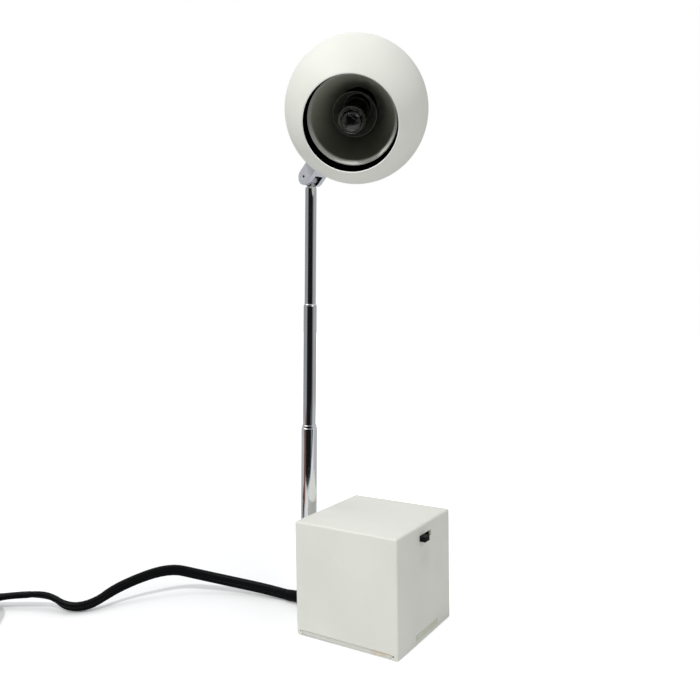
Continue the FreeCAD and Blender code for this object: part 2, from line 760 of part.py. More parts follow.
# ---- ball, reflector and lamp; mouth along +Z, ball's centre at the origin ----
def on_ball(radius, degrees):
    a = math.radians(degrees)
    return Vector(radius * math.sin(a), 0, radius * math.cos(a))


def ball_shell():
    half_way = (MOUTH_ANGLE + 180) / 2
    outer = Part.Arc(on_ball(BALL_R, MOUTH_ANGLE), on_ball(BALL_R, half_way),
                     Vector(0, 0, -BALL_R)).toShape()
    inner = Part.Arc(Vector(0, 0, -BALL_BORE), on_ball(BALL_BORE, half_way),
                     on_ball(BALL_BORE, MOUTH_ANGLE)).toShape()
    pole = Part.makeLine(Vector(0, 0, -BALL_R), Vector(0, 0, -BALL_BORE))
    lip = Part.makeLine(on_ball(BALL_BORE, MOUTH_ANGLE), on_ball(BALL_R, MOUTH_ANGLE))
    outline = Part.Wire([outer, pole, inner, lip])
    shell = Part.Face(outline).revolve(Vector(0, 0, 0), Z_AXIS, 360)
    nipple = put(rod(NIPPLE_R + RUN, -BALL_R - 5, -BALL_BORE + 5),
                 turn_about(X_AXIS, -STEM_TO_MOUTH))
    return shell.cut(nipple).cut(rod(SCREW_R + SEAT, -BALL_R - 5, -BALL_BORE + 5))


CUP_K = (CUP_RIM_H - CUP_BACK_H) / (CUP_RIM_R ** 2 - CUP_BACK_R ** 2)


def cup_height(r):
    """Height of the reflector's parabola at a radius."""
    return CUP_BACK_H + CUP_K * (r ** 2 - CUP_BACK_R ** 2)


def reflector_cup():
    radii = [CUP_BACK_R + (CUP_RIM_R - CUP_BACK_R) * i / (CUP_POINTS - 1)
             for i in range(CUP_POINTS)]
    inside = [Vector(r, 0, cup_height(r)) for r in radii]
    outside = []
    for r in radii:
        slope = 2 * CUP_K * r
        normal = Vector(slope, 0, -1)
        normal.normalize()
        outside.append(Vector(r, 0, cup_height(r)).add(normal.multiply(CUP_WALL)))
    inner_curve = Part.BSplineCurve()
    inner_curve.interpolate(inside)
    outer_curve = Part.BSplineCurve()
    outer_curve.interpolate(outside)
    outline = Part.Wire([
        inner_curve.toShape(), Part.makeLine(inside[-1], outside[-1]),
        outer_curve.toShape(), Part.makeLine(outside[0], inside[0])])
    return Part.Face(outline).revolve(Vector(0, 0, 0), Z_AXIS, 360)


def lamp_baffle():
    wall = BAFFLE_WALL
    back = BAFFLE_BACK_H
    return lathe([
        (SOCKET_R, back), (BAFFLE_BACK_R, back), (BAFFLE_RIM_R, BAFFLE_RIM_H),
        (BAFFLE_RIM_R - wall, BAFFLE_RIM_H), (BAFFLE_BACK_R - wall, back + wall),
        (SOCKET_R, back + wall),
    ])


def cup_carrier():
    """Spider that carries the reflector's back edge on the socket."""
    top = CUP_BACK_H - 0.35
    z0 = top - CARRIER_T
    rim = ring(CARRIER_R, CUP_BACK_R - 0.4, z0, top)
    hub = ring(SOCKET_R + 1.6, SOCKET_R, z0, top)
    shape = rim.fuse(hub)
    for i in range(3):
        arm = box(SOCKET_R + 0.8, CUP_BACK_R, -1.6, 1.6, z0, top)
        shape = shape.fuse(put(arm, turn_about(Z_AXIS, 120 * i)))
    return shape.removeSplitter()


def socket_shell():
    shell = ring(SOCKET_R, SOCKET_R - SOCKET_WALL, SOCKET_H0, SOCKET_H1)
    floor = ring(SOCKET_R, SCREW_R + 1.0, SOCKET_H0, SOCKET_H0 + SOCKET_FLOOR_T)
    shell = shell.fuse(floor)
    half = SOCKET_SLOT_W / 2
    slots = box(-FAR, FAR, -half, half, SOCKET_H1 - SOCKET_SLOT_H, FAR)
    return shell.cut(slots).removeSplitter()


BULB_TIP_H = BULB_BASE_TOP - BULB_BASE_L - BULB_TIP_L


def socket_insulator():
    z0 = SOCKET_H0 + SOCKET_FLOOR_T
    return rod(SOCKET_R - SOCKET_WALL - RUN, z0, z0 + INSULATOR_T)


def contact_plunger():
    disc_z = BULB_TIP_H - PLUNGER_H
    disc = rod(SOCKET_R - SOCKET_WALL - 1.4, disc_z, disc_z + PLUNGER_DISC_T)
    return disc.fuse(rod(PLUNGER_R, disc_z, BULB_TIP_H)).removeSplitter()


def contact_spring():
    """A dished spring between the insulator and the plunger."""
    z0 = SOCKET_H0 + SOCKET_FLOOR_T + INSULATOR_T
    z1 = BULB_TIP_H - PLUNGER_H
    wall = SPRING_T
    return lathe([(SPRING_R0, z0), (SPRING_R0 + wall, z0),
                  (SPRING_R1 + wall, z1), (SPRING_R1, z1)])


def bulb_base():
    z0 = BULB_BASE_TOP - BULB_BASE_L
    shell = rod(BULB_BASE_R, z0, BULB_BASE_TOP).cut(
        rod(BULB_BASE_R - 0.5, z0 + 0.8, BULB_BASE_TOP + 1))
    shell = shell.fuse(rod(BULB_TIP_R, BULB_TIP_H, z0 + 0.1))
    pins = Part.makeCylinder(BULB_PIN_R, 2 * BULB_BASE_R + 1.0,
                             Vector(-BULB_BASE_R - 0.5, 0, BULB_BASE_TOP - 5), X_AXIS)
    pins = pins.cut(rod(BULB_BASE_R - 0.3, z0, BULB_BASE_TOP))
    return shell.fuse(pins).removeSplitter()


def glass_outline(inset):
    """The bulb's outline as edges from its neck to the globe's tip."""
    radius = GLASS_R - inset
    neck = GLASS_NECK_R - inset
    centre = GLASS_TIP - GLASS_R
    foot = Vector(neck, 0, BULB_BASE_TOP - GLASS_IN_BASE)
    low = math.radians(-GLOBE_ANGLE)
    middle = math.radians(45 - GLOBE_ANGLE / 2)
    start = Vector(radius * math.cos(low), 0, centre + radius * math.sin(low))
    along = Vector(radius * math.cos(middle), 0, centre + radius * math.sin(middle))
    tip = Vector(0, 0, centre + radius)
    neck_top = Vector(neck, 0, BULB_BASE_TOP + NECK_OUT)
    lines = [Part.makeLine(foot, neck_top), Part.makeLine(neck_top, start)]
    return lines + [Part.Arc(start, along, tip).toShape()], foot, tip


def bulb_glass():
    outside, foot_out, tip_out = glass_outline(0.0)
    inside, foot_in, tip_in = glass_outline(GLASS_WALL)
    tip = Part.makeLine(tip_out, tip_in)
    foot = Part.makeLine(foot_in, foot_out)
    outline = Part.Wire(Part.__sortEdges__(outside + [tip] + inside + [foot]))
    return Part.Face(outline).revolve(Vector(0, 0, 0), Z_AXIS, 360)


def filament():
    """Support posts from the stem with a bar of coiled wire between their tips."""
    z0 = BULB_BASE_TOP + NECK_OUT
    half = FILAMENT_HALF + 2 * POST_R
    shape = cross_rod(FILAMENT_R, -half, half, FILAMENT_H)
    for side in (-1, 1):
        shape = shape.fuse(rod(POST_R, z0, FILAMENT_H + 2 * POST_R, side * FILAMENT_HALF))
    return shape.removeSplitter()


def bulb_stem():
    z0 = BULB_BASE_TOP - GLASS_IN_BASE
    z1 = BULB_BASE_TOP + NECK_OUT
    stem = rod(GLASS_NECK_R - GLASS_WALL - GAP, z0, z1)
    return stem.fuse(rod(EXHAUST_R, z0, BULB_BASE_TOP + EXHAUST_TIP)).removeSplitter()


def socket_post():
    return rod(POST_R2, -BALL_BORE + 0.35, SOCKET_H0).cut(
        rod(SCREW_R, -BALL_BORE - 1, -BALL_BORE + 7))


def rear_screw():
    head = rod(HEAD_R, -BALL_R - HEAD_T, -BALL_R + 0.35)
    head = head.cut(Part.makeSphere(BALL_R + 0.02))
    head = head.cut(box(-HEAD_R, HEAD_R, -0.4, 0.4, -BALL_R - HEAD_T - 1,
                        -BALL_R - HEAD_T + 0.7))
    return head.fuse(rod(SCREW_R, -BALL_R - 0.5, -BALL_BORE + 6)).removeSplitter()


def socket_leads():
    """Two leads from the socket's floor to the nipple's inner end."""
    stem = turn_about(X_AXIS, -STEM_TO_MOUTH)
    nipple_end = BALL_BORE - NIPPLE_IN
    solids = []
    for side in (-1, 1):
        x = side * 0.8
        end = stem.multVec(Vector(x, 0, -nipple_end + 0.6))
        before = stem.multVec(Vector(x, 0, -nipple_end + 7))
        start = (x, end.y * 0.11, SOCKET_H0 - 0.3)
        bend = SOCKET_H0 - LEAD_DROP
        points = [start, (x, end.y * 0.11, bend), (x, end.y * 0.5, bend - 1),
                  (x, before.y * 0.86, -16), tuple(before), tuple(end)]
        solids.append(bent_rod(points, 0.6)[0])
    return solids


# ---- cord ----
def cord_boot():
    """Ribbed strain relief: outside along +Z from z = 0, flange inside the wall."""
    outline = [(CORD_R - 0.4, -WALL - BOOT_FLANGE_T), (BOOT_FLANGE_R, -WALL - BOOT_FLANGE_T),
               (BOOT_FLANGE_R, -WALL - 0.05), (BOOT_ROOT_R - 0.5, -WALL - 0.05),
               (BOOT_ROOT_R - 0.5, 0.05), (BOOT_ROOT_R, 0.05)]
    pitch = (BOOT_L - 8.0) / BOOT_RIBS
    for i in range(BOOT_RIBS):
        z = 5.0 + i * pitch
        r = BOOT_ROOT_R + (BOOT_TIP_R - BOOT_ROOT_R) * z / BOOT_L
        outline += [(r, z), (r - BOOT_GROOVE, z + 0.15), (r - BOOT_GROOVE, z + 1.25),
                    (r, z + 1.4)]
    outline += [(BOOT_TIP_R, BOOT_L - 0.6), (BOOT_TIP_R - 0.3, BOOT_L),
                (CORD_R - 0.4, BOOT_L)]
    return lathe(outline)


def coil_point(radius, degrees, z):
    a = math.radians(degrees)
    return Vector(COIL_X + radius * math.cos(a), COIL_Y + radius * math.sin(a), z)


def tangent(degrees):
    a = math.radians(degrees)
    return Vector(-math.sin(a), math.cos(a), 0)


COIL_HALF_W = COLUMN + 0.1
COIL_H = 3 * LAYER
ENTRY_R = COIL_MEAN_R + COLUMN / 2
TAIL_R = ENTRY_R + COLUMN
TAIL_START = coil_point(TAIL_R, COIL_OUT_ANGLE, CORD_R)
TAIL_END = TAIL_START.add(tangent(COIL_OUT_ANGLE).multiply(TAIL_L))


def coil_ring(r0, r1, top, degrees):
    """Part of a ring of turns with softened edges, on the table."""
    c = 1.2
    outline = [(r0 + c, 0), (r1 - c, 0), (r1, c), (r1, top - c),
               (r1 - c, top), (r0 + c, top), (r0, top - c), (r0, c)]
    corners = [Vector(r, 0, z) for r, z in outline]
    face = Part.Face(Part.makePolygon(corners + corners[:1]))
    ring_part = face.revolve(Vector(0, 0, 0), Z_AXIS, degrees)
    return put(ring_part, turn_about(Z_AXIS, COIL_IN_ANGLE, (COIL_X, COIL_Y, 0)))


def tie_block(width, outset):
    """A block about the coil's section at the tie's place."""
    half = COIL_HALF_W + outset
    block = box(COIL_MEAN_R - half, COIL_MEAN_R + half, -width / 2, width / 2,
                -outset, COIL_H + outset)
    return put(block, turn_about(Z_AXIS, TIE_ANGLE, (COIL_X, COIL_Y, 0)))


def cord_coil():
    """Six turns, two wide and three high, and half a turn on the table outside."""
    shape = coil_ring(COIL_MEAN_R - COIL_HALF_W, COIL_MEAN_R + COIL_HALF_W, COIL_H, 360)
    last = coil_ring(TAIL_R - COLUMN / 2 - 1.2, TAIL_R + CORD_R, LAYER,
                     COIL_OUT_ANGLE - COIL_IN_ANGLE)
    meets = coil_point(ENTRY_R, COIL_IN_ANGLE, CORD_ROUTE[-1][2])
    shape = shape.fuse(last).fuse(between(CORD_R, Vector(*CORD_ROUTE[-1]), meets))
    shape = shape.fuse(between(CORD_R, TAIL_START, TAIL_END))
    groove = tie_block(TIE_W + 0.2, 5).cut(tie_block(TIE_W + 2, -TIE_T - 0.1))
    return shape.cut(groove).removeSplitter()


def coil_tie():
    return tie_block(TIE_W, -0.05).cut(tie_block(TIE_W + 2, -TIE_T))


PLUG_AT = Vector(TAIL_END.x, TAIL_END.y, PLUG_T / 2)
PLUG = Placement(PLUG_AT, Rotation(Vector(0, 1, 0), tangent(COIL_OUT_ANGLE)))


def plug_body():
    """Moulded two-blade plug, along +Y from the cord's end."""
    half_w, half_t = PLUG_W / 2, PLUG_T / 2
    body = box(-half_w, half_w, PLUG_BOOT, PLUG_BOOT + PLUG_LEN, -half_t, half_t)
    body = body.makeFillet(3.0, [e for e in body.Edges if e.BoundBox.YLength > 1])
    boot = Part.makeCone(CORD_R + 0.8, half_t - 0.6, PLUG_BOOT + 1,
                         Vector(0, 0, 0), Vector(0, 1, 0))
    return body.fuse(boot).removeSplitter()


def plug_blades():
    y0 = PLUG_BOOT + PLUG_LEN
    solids = []
    for side in (-1, 1):
        x = side * BLADE_GAP / 2
        blade = box(x - BLADE_T / 2, x + BLADE_T / 2, y0, y0 + BLADE_L,
                    -BLADE_W / 2, BLADE_W / 2)
        hole = Part.makeCylinder(1.5, 4, Vector(x - 2, y0 + BLADE_L - 4, 0), X_AXIS)
        solids.append(blade.cut(hole))
    return solids


def inner_leads():
    """Leads inside the cube: cord to switch, cord to coil, coil to foot yoke."""
    coil_back = STACK_Y1 + COIL_OUT
    z_low = BOBBIN_Z0 + LEAD_IN
    z_high = BOBBIN_Z0 + WINDOW_H - LEAD_IN
    inside = INNER - BOOT_FLANGE_T - 0.5
    mains = [(CORD_X - 1.4, inside, CORD_Z), (CORD_X - 1.4, inside - 5, CORD_Z + 0.5),
             (-6, coil_back + 4, z_low - 2), (-6, coil_back + 0.5, z_low)]
    switched = [(CORD_X + 1.4, inside, CORD_Z), (CORD_X + 1.8, inside - 5, CORD_Z + 1),
                (12, 22, 16), (15, 19, 34), (12, 14, 50), (5, -4, 62),
                (0.7, -16, 67), (0.7, -22.0, 67.8)]
    low = [(6, coil_back + 0.3, z_high), (6, coil_back + 5, z_high + 1),
           (8, coil_back + 9, z_high - 6), (8, INNER - 4, FOOT_Z + 6),
           (8, INNER - 0.4, FOOT_Z + 6)]
    return [bent_rod(points, 1.1)[0] for points in (mains, switched, low)]


# ---- build every node ----
def save_base():
    save("base_housing", base_housing())
    save("base_plate", base_plate())
    save("base_pad", base_pad())
    save("base_screws", *plate_screws(), *strap_screws())
    save("label_strip", label_strip())
    save("transformer_core", transformer_core())
    save("transformer_bobbin", bobbin())
    save("primary_winding", winding(True))
    save("secondary_winding", winding(False))
    save("transformer_strap", transformer_strap())
    save("switch_plate", switch_plate())
    save("switch_body", switch_body())
    save("switch_terminals", *switch_terminals())
    save("switch_knob", switch_knob())
    save("inner_leads", *inner_leads())
    save("foot_yoke", put(foot_yoke(), FOOT_YOKE))
    save("foot_yoke_screws", *foot_yoke_screws())
    save("foot_pin", put(knuckle_pin(), FOOT_YOKE))
    save("foot_washers", *[put(w, FOOT_YOKE) for w in knuckle_washers(FOOT_TONGUE_R)])


def save_arm():
    save("arm_foot", put(arm_foot(), ARM))
    save("foot_insulator", put(foot_insulator(), ARM))
    save("lower_tube", put(lower_tube(), ARM))
    save("contact_rod", put(contact_rod(), ARM))
    save("middle_tube", put(middle_tube(), ARM))
    save("middle_sleeve", put(sleeve(MIDDLE_R + RUN, LOWER_BORE - RUN, MIDDLE_Z0), ARM))
    save("middle_contact", put(middle_contact(), ARM))
    save("middle_insulator", put(middle_insulator(), ARM))
    save("upper_tube", put(upper_tube(), UPPER))
    save("upper_sleeve", put(sleeve(UPPER_R + RUN, MIDDLE_BORE - RUN, UPPER_Z0), UPPER))
    save("upper_contact", put(upper_contact(), UPPER))
    save("upper_insulator", put(upper_insulator(), UPPER))
    save("top_lug", put(top_lug(), UPPER))


def save_head():
    save("head_yoke", put(head_yoke(), STEM))
    save("head_pin", put(knuckle_pin(), STEM))
    save("head_washers", *[put(w, STEM) for w in knuckle_washers(LUG_R)])
    save("seat_washer", put(seat_washer(), STEM))
    save("swivel_nipple", put(swivel_nipple(), STEM))
    save("inner_washer", put(inner_washer(), STEM))
    save("swivel_nut", put(swivel_nut(), STEM))
    save("ball_shell", put(ball_shell(), MOUTH))
    save("reflector_cup", put(reflector_cup(), MOUTH))
    save("lamp_baffle", put(lamp_baffle(), MOUTH))
    save("cup_carrier", put(cup_carrier(), MOUTH))
    save("socket_shell", put(socket_shell(), MOUTH))
    save("socket_insulator", put(socket_insulator(), MOUTH))
    save("contact_plunger", put(contact_plunger(), MOUTH))
    save("contact_spring", put(contact_spring(), MOUTH))
    save("bulb_base", put(bulb_base(), MOUTH))
    save("bulb_glass", put(bulb_glass(), MOUTH))
    save("bulb_stem", put(bulb_stem(), MOUTH))
    save("filament", put(filament(), MOUTH))
    save("socket_post", put(socket_post(), MOUTH))
    save("rear_screw", put(rear_screw(), MOUTH))
    save("socket_leads", *[put(lead, MOUTH) for lead in socket_leads()])


def save_cord():
    save("cord_boot", put(cord_boot(), BOOT))
    run, length, radii = bent_rod(CORD_ROUTE, CORD_R)
    print("cord radii", [round(r, 1) for r in radii])
    section = math.pi * CORD_R ** 2
    print("cord volume %.0f, section times length %.0f" % (run.Volume, section * length))
    save("cord_run", run)
    save("cord_coil", cord_coil())
    save("coil_tie", coil_tie())
    save("plug_body", put(plug_body(), PLUG))
    save("plug_blades", *[put(b, PLUG) for b in plug_blades()])


save_base()
save_arm()
save_head()
save_cord()
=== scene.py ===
"""Tabletop searchlight lamp: finishes, ball, bulb wire, cord and stage."""

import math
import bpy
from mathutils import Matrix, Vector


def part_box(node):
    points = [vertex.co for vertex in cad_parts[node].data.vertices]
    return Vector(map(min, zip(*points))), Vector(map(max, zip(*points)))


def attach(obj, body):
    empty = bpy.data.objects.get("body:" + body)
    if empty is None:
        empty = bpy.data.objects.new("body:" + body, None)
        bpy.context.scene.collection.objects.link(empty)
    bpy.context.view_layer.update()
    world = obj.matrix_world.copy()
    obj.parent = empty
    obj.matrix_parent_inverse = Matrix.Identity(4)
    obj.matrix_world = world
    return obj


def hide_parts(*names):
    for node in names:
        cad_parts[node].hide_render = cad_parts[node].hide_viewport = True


bl_info = {
    "name": "Searchlight Table Lamp",
    "version": (1, 0, 0),
    "blender": (4, 5, 0),
    "location": "3D View > Sidebar > Lamp",
    "description": "Finishes, cord and stage of a cube-based searchlight lamp",
    "category": "Object",
}

import bpy
from mathutils import Matrix, Vector

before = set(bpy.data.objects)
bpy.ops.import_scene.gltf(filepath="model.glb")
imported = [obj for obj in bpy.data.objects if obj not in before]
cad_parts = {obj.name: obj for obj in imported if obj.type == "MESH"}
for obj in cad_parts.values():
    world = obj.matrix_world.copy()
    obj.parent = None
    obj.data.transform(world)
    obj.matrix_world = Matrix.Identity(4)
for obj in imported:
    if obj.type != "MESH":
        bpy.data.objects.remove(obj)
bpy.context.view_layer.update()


# ---- places: the arm's, the stem's and the mouth's own frames ----
def turned(axis, degrees):
    return Matrix.Rotation(math.radians(degrees), 4, axis)


CUBE_HALF = 0.0381
FOOT_PIN = (0, 0.0554, 0.022)
ARM_LENGTH = 0.2833     # from the foot's pin to the head's
STEM_LENGTH = 0.0572    # from the head's pin to the ball's centre
MOUTH_TURN = 84.0       # degrees from the stem to the mouth's axis

ARM = Matrix.Translation(FOOT_PIN) @ turned("X", 1.8)
UPPER = ARM @ turned("Z", -12.0)
STEM = UPPER @ Matrix.Translation((0, 0, ARM_LENGTH)) @ turned("X", 48.2)
BALL = STEM @ Matrix.Translation((0, 0, STEM_LENGTH)) @ turned("Z", -45.7)
MOUTH = BALL @ turned("X", MOUTH_TURN)
BOOT = Matrix.Translation((0.0015, CUBE_HALF, 0.007)) @ turned("X", -93.8)
FOOT = Matrix.Translation(FOOT_PIN) @ turned("X", 90)

# the cord's route from inside the boot to the coil, in metres
ROUTE = (
    (0.0015, 0.0735, 0.00462),
    (0.0015, 0.07595, 0.00445),
    (-0.0013, 0.0950, 0.0062),
    (-0.0087, 0.1198, 0.0091),
    (-0.0201, 0.1445, 0.0140),
    (-0.0328, 0.1630, 0.0199),
    (-0.0630, 0.1821, 0.0125),
    (-0.0850, 0.1869, 0.0044),
    (-0.0963, 0.1992, 0.0044),
    (-0.0973, 0.2167, 0.0112),
    (-0.1095, 0.2415, 0.0095),
    (-0.1168, 0.2551, 0.0069),
)
# the cord's roll about its line at points of the route: on edge, then flat
ROLL = (92, 92, 94, 95, 94, 90, 80, 64, 56, 36, 12, 0)
COIL_CENTRE = (-0.166, 0.262)
# radius and height of each turn of the coil, from the first
COIL_TURNS = (
    (0.04205, 0.0069),
    (0.04205, 0.0115),
    (0.03395, 0.0115),
    (0.03395, 0.0069),
    (0.03395, 0.0023),
    (0.04205, 0.0023),
    (0.05015, 0.0023),
)
COIL_FROM = 25.0
COIL_LAST = 175.0
COIL_STEP = 24.0
COIL_EASE = 312.0       # where in a turn the cord starts to move over to the next
# the cord's run from the coil to the plug: distance and height of each point
TAIL = ((0.006, 0.0023), (0.014, 0.0026), (0.024, 0.0048), (0.030, 0.0060), (0.0345, 0.0060))
PLUG_HEIGHT = 0.006
PLUG_FROM_COIL = 0.034
WINDING_WIRE = 0.0003
WINDING_PITCH = 2.07 * WINDING_WIRE


# ---- what a user may change ----
def length(name, about, default):
    return bpy.props.FloatProperty(
        name=name, description=about, default=default, min=0.0, subtype="DISTANCE", unit="LENGTH")


def angle(name, about, degrees):
    return bpy.props.FloatProperty(
        name=name, description=about, default=math.radians(degrees),
        subtype="ANGLE", unit="ROTATION")


def count(name, about, default):
    return bpy.props.IntProperty(name=name, description=about, default=default, min=1)


def colour(name, about, red, green, blue):
    return bpy.props.FloatVectorProperty(
        name=name, description=about, default=(red, green, blue), size=3,
        min=0.0, max=1.0, subtype="COLOR")


class LampSizes(bpy.types.PropertyGroup):
    """Sizes of the pieces that the scene makes."""

    ball_radius: length("Ball radius", "Outside radius of the ball", 0.046)
    ball_wall: length("Ball wall", "Thickness of the ball's sheet", 0.0008)
    lip_round: length("Lip rounding", "Rounding of the edge round the mouth", 0.00012)
    mouth_angle: angle("Mouth angle", "Half angle of the mouth from the ball's centre", 39.9)
    cord_width: length("Cord width", "Width of the flat twin cord", 0.008)
    cord_height: length("Cord height", "Thickness of the flat twin cord", 0.0044)
    cord_length: length("Cord length", "Length of the whole cord", 1.83)
    boot_length: length("Strain relief length", "Length of the ribbed strain relief", 0.038)
    boot_ribs: count("Strain relief ribs", "Number of ribs", 24)
    wire_turns: count("Bulb wire turns", "Turns of the bulb's coiled wire", 22)
    plate_gauge: length("Core plate", "Pitch of the transformer's plates", 0.0005)
    grip_ribs: count("Grip ribs", "Ribs on each side of the plug", 7)


class LampColours(bpy.types.PropertyGroup):
    """Colours of the finishes."""

    enamel: colour("Enamel", "Ball and cube", 0.728, 0.728, 0.666)
    reflector: colour("Reflector", "Paint at the reflector's rim", 0.62, 0.63, 0.57)
    chrome: colour("Chrome", "Tubes and knuckles", 0.86, 0.87, 0.88)
    shield: colour("Shield", "Inner shield", 0.13, 0.135, 0.10)
    strip: colour("Strip", "Bare strip on the switch face", 0.59, 0.61, 0.49)
    stain: colour("Stain", "Age stain on the bottom flange", 0.62, 0.55, 0.42)
    cord: colour("Cord", "Vinyl of the cord and plug", 0.003, 0.0031, 0.0036)
    knob: colour("Knob", "Switch knob", 0.004, 0.004, 0.0045)
    floor: colour("Floor", "Table top of the studio", 0.92, 0.92, 0.92)


# ---- nodes ----
class Value:
    """A number socket. Python's operators on it add Math nodes."""

    def __init__(self, builder, socket):
        self.builder = builder
        self.socket = socket

    def math(self, operation, *others):
        sockets = dict(enumerate((self, *others)))
        return self.builder.value("ShaderNodeMath", {"operation": operation}, sockets)

    def reflected(self, operation, first):
        sockets = {0: first, 1: self}
        return self.builder.value("ShaderNodeMath", {"operation": operation}, sockets)

    def __add__(self, other):
        return self.math("ADD", other)

    def __radd__(self, other):
        return self.reflected("ADD", other)

    def __sub__(self, other):
        return self.math("SUBTRACT", other)

    def __rsub__(self, other):
        return self.reflected("SUBTRACT", other)

    def __mul__(self, other):
        return self.math("MULTIPLY", other)

    def __rmul__(self, other):
        return self.reflected("MULTIPLY", other)

    def __truediv__(self, other):
        return self.math("DIVIDE", other)

    def __abs__(self):
        return self.math("ABSOLUTE")

    def step(self, low, high):
        """A smooth step from 0 at low to 1 at high."""
        settings = {"interpolation_type": "SMOOTHSTEP"}
        sockets = {"Value": self, "From Min": low, "From Max": high}
        return self.builder.value("ShaderNodeMapRange", settings, sockets)


class Builder:
    """Adds nodes to one tree, with plain values or links in their sockets."""

    def __init__(self, tree):
        self.tree = tree

    def node(self, kind, settings=None, sockets=None):
        made = self.tree.nodes.new(kind)
        for key, value in (settings or {}).items():
            setattr(made, key, value)
        for key, value in (sockets or {}).items():
            target = made.inputs[key]
            source = value.socket if isinstance(value, Value) else value
            if isinstance(source, bpy.types.NodeSocket):
                self.tree.links.new(source, target)
            else:
                target.default_value = source
        return made

    def value(self, kind, settings=None, sockets=None, output=0):
        return Value(self, self.node(kind, settings, sockets).outputs[output])

    def combined(self, x=0.0, y=0.0, z=0.0):
        return self.node("ShaderNodeCombineXYZ", None, {0: x, 1: y, 2: z}).outputs[0]

    def vector_math(self, operation, *vectors):
        sockets = dict(enumerate(vectors))
        made = self.node("ShaderNodeVectorMath", {"operation": operation}, sockets)
        return made.outputs["Value" if operation in ("DOT_PRODUCT", "LENGTH") else "Vector"]


class Shade(Builder):
    """A material's tree about one Principled shader."""

    def __init__(self, name, **constants):
        self.material = bpy.data.materials.new(name)
        self.material.use_nodes = True
        super().__init__(self.material.node_tree)
        self.tree.nodes.clear()
        self.out = self.node("ShaderNodeOutputMaterial")
        self.principled = self.node("ShaderNodeBsdfPrincipled")
        self.surface(self.principled.outputs[0])
        self.place = self.node("ShaderNodeTexCoord").outputs["Object"]
        for key, value in constants.items():
            self.principled.inputs[key.replace("_", " ").title().replace("Ior", "IOR")
                                   ].default_value = value

    def surface(self, socket):
        self.tree.links.new(socket, self.out.inputs["Surface"])

    def feed(self, name, source):
        socket = source.socket if isinstance(source, Value) else source
        self.tree.links.new(socket, self.principled.inputs[name])

    def axes(self):
        """The three coordinates of the place, as values."""
        parts = self.node("ShaderNodeSeparateXYZ", None, {0: self.place}).outputs
        return [Value(self, part) for part in parts]

    def within(self, place):
        """The three coordinates of the place in another frame."""
        offset = self.vector_math("SUBTRACT", self.place, tuple(place.translation))
        return [Value(self, self.vector_math("DOT_PRODUCT", offset, tuple(axis)))
                for axis in place.to_3x3().col]

    def stretched(self, *scale):
        return self.node("ShaderNodeMapping", None, {"Vector": self.place, "Scale": scale}
                         ).outputs[0]

    def noise(self, size, detail=3.0, rough=0.5, at=None, distortion=0.0):
        """Noise about one half, with features of this size in metres."""
        sockets = {"Vector": at or self.place, "Scale": 1.0 / size, "Detail": detail,
                   "Roughness": rough, "Distortion": distortion}
        return self.value("ShaderNodeTexNoise", None, sockets, "Fac")

    def mixed(self, factor, first, second):
        """A colour between two, each a colour or a socket."""
        sockets = {0: factor, 6: opaque(first), 7: opaque(second)}
        settings = {"data_type": "RGBA", "clamp_factor": True}
        return self.node("ShaderNodeMix", settings, sockets).outputs[2]

    def bump(self, height, distance):
        sockets = {"Height": height, "Distance": distance}
        self.feed("Normal", self.node("ShaderNodeBump", None, sockets).outputs[0])


def opaque(tint):
    return tint if isinstance(tint, bpy.types.NodeSocket) else (*tint[:3], 1.0)


def scaled(tint, factor):
    return tuple(min(1.0, part * factor) for part in tint[:3])


# ---- finishes ----
# painted shade: near-black for the hollows inside the ball and the cube, and in the knuckles'
# slots and pin dimples
PAINTED_SHADE = (0.010, 0.010, 0.010)
# painted highlight on the ball's lip, the cut face of its sheet round the mouth
PAINTED_LIP_HIGHLIGHT = (0.95, 0.95, 0.92)
PIT = (0.12, 0.075, 0.045)
SATIN = (0.80, 0.81, 0.86)
SWITCH_CARD = (0.25, 0.23, 0.10)
# painted shade and painted light of the reflector's deep paint: darker at its bottom, lighter at
# its top
CUP_PAINTED_SHADE_BELOW = (0.075, 0.078, 0.056)
CUP_PAINTED_LIGHT_ABOVE = (0.40, 0.41, 0.33)
# upwards in the plane of the mouth
MOUTH_UP = Vector((-0.419, -0.190, 0.888))


